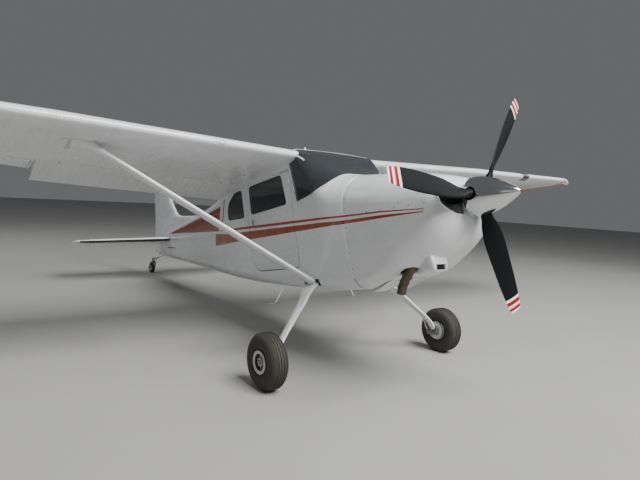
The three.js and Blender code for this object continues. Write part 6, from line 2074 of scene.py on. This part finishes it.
def make_seat_fittings(name, y, x, half):
    """Belts laid over the seat with their buckles, and a front seat's headrest."""
    belts = []
    places = (y,) if half < 300 else (-190, 190)
    for middle in places:
        for side in (-1, 1):
            path = curve_points([(x - 178, middle + side * 190, 960), (x - 150, middle + side * 182, 1012),
                                 (x - 60, middle + side * 120, 1018), (x + 10, middle + side * 34, 1016)], 8)
            rings = []
            for i, p in enumerate(path):
                way = (path[min(i + 1, len(path) - 1)] - path[max(i - 1, 0)]).normalized()
                across = Vector((0, 0, 1)).cross(way).normalized()
                up = way.cross(across)
                rings.append([(p + across * a + up * b) * MM for a,
                              b in ((-23, -1), (-23, 1), (23, 1), (23, -1))])
            belts.append(loft("belt", rings))
    finish(bevel(merged(name + "_belts", *belts), 0.4, 1, 60), "airframe", "belt")
    buckles = [bevel(block("buckle", x - 8, x + 26, middle - 34, middle + 34, 1014, 1026), 4, 3)
               for middle in places]
    finish(merged(name + "_buckles", *buckles), "airframe", "alloy")
    if half < 300:
        head = bevel(block("head", x - 392, x - 316, y - 120, y + 120, 1590, 1700), 26, 5)
        posts = [bevel(rod("post", (x - 350, y + s * 60, 1530), (x - 354, y + s * 60, 1600), 6, 16), 1)
                 for s in (-1, 1)]
        finish(head, "airframe", "seat", angle=50).name = name + "_headrest"
        finish(merged(name + "_headrest_posts", *posts), "airframe", "steel")


def make_engine(sizes):
    wall = fuselage_body("firewall_plate", FIREWALL_X + 0.4, FIREWALL_X - 8, -COWL_WALL - 2)
    finish(bevel(wall, 1.5), "airframe", "alloy", "firewall").name = "firewall_plate"
    crank = [bevel(block("case", 560, 1130, -150, 150, 1030, 1300), 26, 4),
             rod("nose", (1120, 0, 1271), (1400, 0, 1256), 40, 40),
             bevel(block("sump", 640, 1040, -120, 120, 900, 1040), 22, 4)]
    pots = []
    for side in (-1, 1):
        for x in (700, 850, 1000):
            for k in range(13):
                y = 160 + k * 11
                pots.append(rod("cooling_fin", (x, side * y, 1190), (x, side * (y + 3.2), 1190), 70, 28))
            pots.append(rod("barrel", (x, side * 140, 1190), (x, side * 306, 1190), 52, 28))
            pots.append(bevel(block("head", x - 56, x + 56, *sorted((side * 300, side * 316)), 1140, 1240),
                              8, 3))
    mounts = []
    for side in (-1, 1):
        for z0, z1 in ((960, 1060), (1380, 1270)):
            mounts.append(rod("tube", (294, side * 230, z0), (580, side * 170, z1), 11, 24))
        mounts.append(rod("tie", (294, side * 230, 960), (580, side * 170, 1270), 9, 20))
    finish(merged("engine_case", *crank), "airframe", "steel", "engine")
    finish(merged("engine_cylinders", *pots), "airframe", "alloy")
    finish(merged("engine_mount", *mounts), "airframe", "dark_steel")


def make_outside_fittings(sizes):
    """Boarding steps, antennas, air temperature probe and tie-down rings."""
    root, foot = Vector((-836, 410, 680)), Vector((-838, 552, 472))
    stay = tube("stay", curve_points([root, root.lerp(foot, 0.5), root.lerp(foot, 0.93),
                                      foot + Vector((-4, 10, -16))], 6), 7.5, 20)
    pad = bevel(block("pad", foot.x - 100, foot.x + 12, foot.y - 30, foot.y + 60, foot.z - 16, foot.z - 8),
                3, 3)
    ribs = [bevel(block("rib", foot.x - 95 + 13 * k, foot.x - 91 + 13 * k, foot.y - 26, foot.y + 56,
                        foot.z - 9, foot.z - 6), 0.8) for k in range(8)]
    both_sides(stay, "boarding_step_stay_{}", "airframe", "gear", "boarding_step_{}")
    both_sides(merged("pad", pad, *ribs), "boarding_step_pad_{}", "airframe", "alloy")

    blades = []
    x, height = -1520, 250
    top = section_at(x)[2]
    for y in (150, -150):
        path = curve_points([(x, y, top + 6), (x - 60, y, top + 120), (x - 130, y * 1.05, top + height)], 8)
        blades.append(tube("whip", path, 3, 12, [4.2 - 2.6 * i / (len(path) - 1) for i in range(len(path))]))
        blades.append(bevel(rod("foot", (x + 1, y, top - 2), (x - 4, y, top + 22), 15, 28, 8), 1.5))
    finish(merged("radio_aerials", *blades), "airframe", "white_plastic")
    top = section_at(-1000)[2]
    fin = loft("blade",
               [[Vector((-1000 + u * l, v * w, top + h)) * MM for u,
                 v in ((math.cos(a), math.sin(a)) for a in (2 * math.pi * k / 28 for k in range(28)))]
                         for h, l, w in ((2, 74, 20), (8, 68, 14), (44, 50, 8), (62, 34, 4), (66, 20, 2))])
    finish(bevel(fin, 1, 2, 60), "airframe", "white_plastic").name = "roof_aerial"
    probe = merged("probe", rod("stem", (-330, -548, 1962), (-214, -520, 1880), 10, 28),
                   rod("foot", (-306, -431, 2010), (-306, -431, 2038), 15, 28, 10),
                   spun("guard", [(10, 0), (16, 4), (17, 40), (15, 44), (10, 44), (10, 0)],
                        (-330, -548, 1962), (116, 28, -82), 32))
    finish(bevel(probe, 0.8, 2, 50), "airframe", "white_plastic").name = "air_temperature_probe"
    at = skin_spot(2560, 0.28, -1)[0] / MM
    ring = spun("ring", [(9, -2), (12, -2), (12, 2), (9, 2), (9, -2)], (at.x - 60, 2560, at.z - 9),
                (1, 0, 0), 32)
    both_sides(bevel(ring, 0.8, 2, 50), "tie_down_ring_{}", "airframe", "steel")
    arm_end = king_at(KINGPIN["bottom"] - 12) + Vector((0, 66, 0))
    cable = tube("cable", curve_points([(-5623, 86, 1382), (-5738, 70, 1290), tuple(arm_end)], 8), 2.2, 10)
    both_sides(bevel(cable, 0.2, 1, 80), "steering_cable_{}", "airframe", "steel")


# Stage
CAMERA = {"place": (3.458, -3.395, 1.655), "yaw": 142.203, "pitch": -4.629, "roll": 3.189, "focal": 27.62}


def soft_light(name, place, target, size, power, colour):
    bpy.ops.object.light_add(type="AREA", location=place)
    light = bpy.context.object
    light.name = name
    light.data.shape = "RECTANGLE"
    light.data.size, light.data.size_y = size
    light.data.energy = power
    light.data.color = colour
    light.rotation_mode = "QUATERNION"
    light.rotation_quaternion = (Vector(target) - Vector(place)).to_track_quat("-Z", "Y")


def make_stage(sizes):
    bpy.ops.mesh.primitive_plane_add(size=120, location=(0, 0, 0))
    floor = bpy.context.object
    floor.name = "pale_floor"
    f = Finish("Pale floor", srgb("a6a6a3"), 0.8)
    f.colour(f.graph.mix(f.graph.noise(f.place, 0.6, 4.0), srgb("a3a3a0"), srgb("979794")))
    floor.data.materials.append(f.material)
    soft_light("key_light", (11, 1.5, 12), (1, 0, 1), (8, 8), 4500, (1, 0.985, 0.96))
    soft_light("camera_side_light", (12, -10, 5), (0, 0, 1), (8, 5), 50, (0.95, 0.98, 1))
    soft_light("left_side_light", (2, 12, 7), (0, 0, 1), (9, 5), 200, (0.95, 0.98, 1))
    soft_light("tail_light", (-10, -6, 8), (-2, 0, 1), (8, 6), 300, (1, 1, 1))
    world = bpy.data.worlds.new("Studio air") if not bpy.context.scene.world else bpy.context.scene.world
    bpy.context.scene.world = world
    world.use_nodes = True
    back = world.node_tree.nodes.get("Background") or world.node_tree.nodes.new("ShaderNodeBackground")
    back.inputs["Color"].default_value = (0.86, 0.89, 0.93, 1)
    back.inputs["Strength"].default_value = 0.16
    lens = bpy.data.cameras.new("Camera")
    lens.lens, lens.sensor_width, lens.clip_end = CAMERA["focal"], 36, 200
    eye = bpy.data.objects.new("Camera", lens)
    bpy.context.scene.collection.objects.link(eye)
    yaw, pitch, roll = (math.radians(CAMERA[k]) for k in ("yaw", "pitch", "roll"))
    ahead = Vector((math.cos(pitch) * math.cos(yaw), math.cos(pitch) * math.sin(yaw), math.sin(pitch)))
    right = ahead.cross(Vector((0, 0, 1))).normalized()
    up = right.cross(ahead)
    x_axis = right * math.cos(roll) + up * math.sin(roll)
    y_axis = up * math.cos(roll) - right * math.sin(roll)
    turn = Matrix((x_axis, y_axis, -ahead)).transposed().to_4x4()
    x, y, z = CAMERA["place"]
    eye.matrix_world = Matrix.Translation((x + ORIGIN_X, y, z)) @ turn
    bpy.context.scene.camera = eye


# Settings and operators
class AircraftSizes(bpy.types.PropertyGroup):
    rivet_pitch: FloatProperty(name="Rivet pitch", description="Distance between rivet heads", default=0.038,
                               min=0.015, max=0.2, unit="LENGTH")
    rivet_radius: FloatProperty(name="Rivet radius", description="Radius of a rivet head", default=0.0026,
                                min=0.001, max=0.01, unit="LENGTH")
    bead_pitch: FloatProperty(name="Bead pitch",
                              description="Distance between the pressed beads of flaps and ailerons",
                              default=0.062, min=0.04, max=0.3, unit="LENGTH")
    bead_height: FloatProperty(name="Bead height", description="Height of the pressed beads", default=0.0044,
                               min=0.0, max=0.01, unit="LENGTH")
    tread_depth: FloatProperty(name="Tread depth", description="Depth of the grooves round the main tyres",
                               default=0.0065, min=0.0, max=0.012, unit="LENGTH")


class AircraftColours(bpy.types.PropertyGroup):
    paint: FloatVectorProperty(name="Paint", description="Main paint", subtype="COLOR", size=3, min=0, max=1,
                               default=(0.75, 0.77, 0.79))
    band: FloatVectorProperty(name="Bands", description="Bands along the fuselage", subtype="COLOR", size=3,
                              min=0, max=1, default=(0.30, 0.050, 0.013))
    edge: FloatVectorProperty(name="Band edges", description="Thin stripe and the bands' edges",
                              subtype="COLOR", size=3, min=0, max=1, default=(0.34, 0.030, 0.014))
    soil: FloatVectorProperty(name="Soil", description="Dirt in the paint's streaks", subtype="COLOR",
                              size=3, min=0, max=1, default=(0.26, 0.24, 0.21))
    rubber: FloatVectorProperty(name="Rubber", description="Tyres and seals", subtype="COLOR", size=3, min=0,
                                max=1, default=(0.028, 0.025, 0.023))
    trim: FloatVectorProperty(name="Cabin trim", description="Door cards and side panels", subtype="COLOR",
                              size=3, min=0, max=1, default=(0.10, 0.10, 0.11))
    seat: FloatVectorProperty(name="Seat cloth", description="Seat covers", subtype="COLOR", size=3, min=0,
                              max=1, default=(0.11, 0.105, 0.10))


class PieceOperator:
    bl_options = {"REGISTER", "UNDO"}
    builder = None

    def execute(self, context):
        type(self).builder(context.scene.aircraft_sizes)
        return {"FINISHED"}


class AIRCRAFT_OT_finishes(bpy.types.Operator):
    """Build the shared effects and every finish from the chosen colours"""
    bl_idname = "aircraft.finishes"
    bl_label = "Finishes"

    def execute(self, context):
        make_groups()
        make_materials(context.scene.aircraft_colours)
        return {"FINISHED"}


class AIRCRAFT_OT_cabin(PieceOperator, bpy.types.Operator):
    """Build the cabin skin, windscreen, side windows and the two doors"""
    bl_idname = "aircraft.cabin"
    bl_label = "Cabin and doors"
    builder = make_cabin


class AIRCRAFT_OT_door_fittings(PieceOperator, bpy.types.Operator):
    """Build the doors' handles, hinges, inner cards and pockets"""
    bl_idname = "aircraft.door_fittings"
    bl_label = "Door fittings"
    builder = make_door_fittings


class AIRCRAFT_OT_tail_cone(PieceOperator, bpy.types.Operator):
    """Build the tapering rear fuselage"""
    bl_idname = "aircraft.tail_cone"
    bl_label = "Tail cone"
    builder = make_tail_cone


class AIRCRAFT_OT_cowling(PieceOperator, bpy.types.Operator):
    """Build the two cowling halves with their inlets"""
    bl_idname = "aircraft.cowling"
    bl_label = "Cowling"
    builder = make_cowling


class AIRCRAFT_OT_cowl_fittings(PieceOperator, bpy.types.Operator):
    """Build the intake scoop, exhaust, cowl flaps and fasteners"""
    bl_idname = "aircraft.cowl_fittings"
    bl_label = "Cowling fittings"
    builder = make_cowl_fittings


class AIRCRAFT_OT_engine(PieceOperator, bpy.types.Operator):
    """Build the firewall, the engine and its mount"""
    bl_idname = "aircraft.engine"
    bl_label = "Engine"
    builder = make_engine


class AIRCRAFT_OT_rivets(PieceOperator, bpy.types.Operator):
    """Build the rivet rows of the fuselage"""
    bl_idname = "aircraft.rivets"
    bl_label = "Fuselage rivets"
    builder = make_rivets


class AIRCRAFT_OT_fin(PieceOperator, bpy.types.Operator):
    """Build the fin with its fillet and the rudder"""
    bl_idname = "aircraft.fin"
    bl_label = "Fin and rudder"
    builder = make_fin


class AIRCRAFT_OT_stabiliser(PieceOperator, bpy.types.Operator):
    """Build the stabiliser and the elevator"""
    bl_idname = "aircraft.stabiliser"
    bl_label = "Stabiliser and elevator"
    builder = make_stabiliser


class AIRCRAFT_OT_wings(PieceOperator, bpy.types.Operator):
    """Build both wings with their tips, lamps, vents and rivets"""
    bl_idname = "aircraft.wings"
    bl_label = "Wings"
    builder = make_wings


class AIRCRAFT_OT_flaps(PieceOperator, bpy.types.Operator):
    """Build the beaded flaps and ailerons"""
    bl_idname = "aircraft.flaps"
    bl_label = "Flaps and ailerons"
    builder = make_flaps


class AIRCRAFT_OT_struts(PieceOperator, bpy.types.Operator):
    """Build the lift struts with their end fairings"""
    bl_idname = "aircraft.struts"
    bl_label = "Struts"
    builder = make_struts


class AIRCRAFT_OT_main_gear(PieceOperator, bpy.types.Operator):
    """Build the gear legs, brakes and main wheels"""
    bl_idname = "aircraft.main_gear"
    bl_label = "Main gear"
    builder = make_main_gear


class AIRCRAFT_OT_tail_gear(PieceOperator, bpy.types.Operator):
    """Build the tail spring, fork and tail wheel"""
    bl_idname = "aircraft.tail_gear"
    bl_label = "Tail gear"
    builder = make_tail_gear


class AIRCRAFT_OT_propeller(PieceOperator, bpy.types.Operator):
    """Build the blades, hub and spinner"""
    bl_idname = "aircraft.propeller"
    bl_label = "Propeller"
    builder = make_propeller


class AIRCRAFT_OT_cabin_floor(PieceOperator, bpy.types.Operator):
    """Build the carpet, rails and inner panels"""
    bl_idname = "aircraft.cabin_floor"
    bl_label = "Cabin floor and lining"
    builder = make_cabin_floor


class AIRCRAFT_OT_panel(PieceOperator, bpy.types.Operator):
    """Build the instrument panel, control wheels and pedals"""
    bl_idname = "aircraft.panel"
    bl_label = "Instrument panel"
    builder = make_panel


class AIRCRAFT_OT_seats(PieceOperator, bpy.types.Operator):
    """Build the padded seats with their belts"""
    bl_idname = "aircraft.seats"
    bl_label = "Seats"
    builder = make_seats


class AIRCRAFT_OT_outside_fittings(PieceOperator, bpy.types.Operator):
    """Build the boarding steps, aerials and probes"""
    bl_idname = "aircraft.outside_fittings"
    bl_label = "Outside fittings"
    builder = make_outside_fittings


class AIRCRAFT_OT_stage(PieceOperator, bpy.types.Operator):
    """Set up the floor, lights and camera"""
    bl_idname = "aircraft.stage"
    bl_label = "Stage"
    builder = make_stage


OPERATORS = (AIRCRAFT_OT_finishes, AIRCRAFT_OT_cabin, AIRCRAFT_OT_door_fittings, AIRCRAFT_OT_tail_cone,
             AIRCRAFT_OT_cowling, AIRCRAFT_OT_cowl_fittings,
             AIRCRAFT_OT_engine, AIRCRAFT_OT_rivets, AIRCRAFT_OT_fin, AIRCRAFT_OT_stabiliser,
             AIRCRAFT_OT_wings, AIRCRAFT_OT_flaps, AIRCRAFT_OT_struts,
             AIRCRAFT_OT_main_gear, AIRCRAFT_OT_tail_gear, AIRCRAFT_OT_propeller, AIRCRAFT_OT_cabin_floor,
             AIRCRAFT_OT_panel, AIRCRAFT_OT_seats,
             AIRCRAFT_OT_outside_fittings, AIRCRAFT_OT_stage)


class AIRCRAFT_PT_sidebar(bpy.types.Panel):
    """Sizes, colours and pieces of the aircraft"""
    bl_idname = "AIRCRAFT_PT_sidebar"
    bl_label = "Light aircraft"
    bl_space_type = "VIEW_3D"
    bl_region_type = "UI"
    bl_category = "Aircraft"

    def draw(self, context):
        for settings in (context.scene.aircraft_sizes, context.scene.aircraft_colours):
            box = self.layout.box()
            for key in settings.bl_rna.properties.keys():
                if key not in ("rna_type", "name"):
                    box.prop(settings, key)
        for operator in OPERATORS:
            self.layout.operator(operator.bl_idname)


CLASSES = (AircraftSizes, AircraftColours, *OPERATORS, AIRCRAFT_PT_sidebar)


def register():
    for one in CLASSES:
        bpy.utils.register_class(one)
    bpy.types.Scene.aircraft_sizes = PointerProperty(type=AircraftSizes)
    bpy.types.Scene.aircraft_colours = PointerProperty(type=AircraftColours)


def unregister():
    del bpy.types.Scene.aircraft_colours
    del bpy.types.Scene.aircraft_sizes
    for one in reversed(CLASSES):
        bpy.utils.unregister_class(one)


def main():
    register()
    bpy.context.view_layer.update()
    for operator in OPERATORS:
        group_name, action = operator.bl_idname.split(".")
        getattr(getattr(bpy.ops, group_name), action)()


if __name__ == "__main__":
    main()
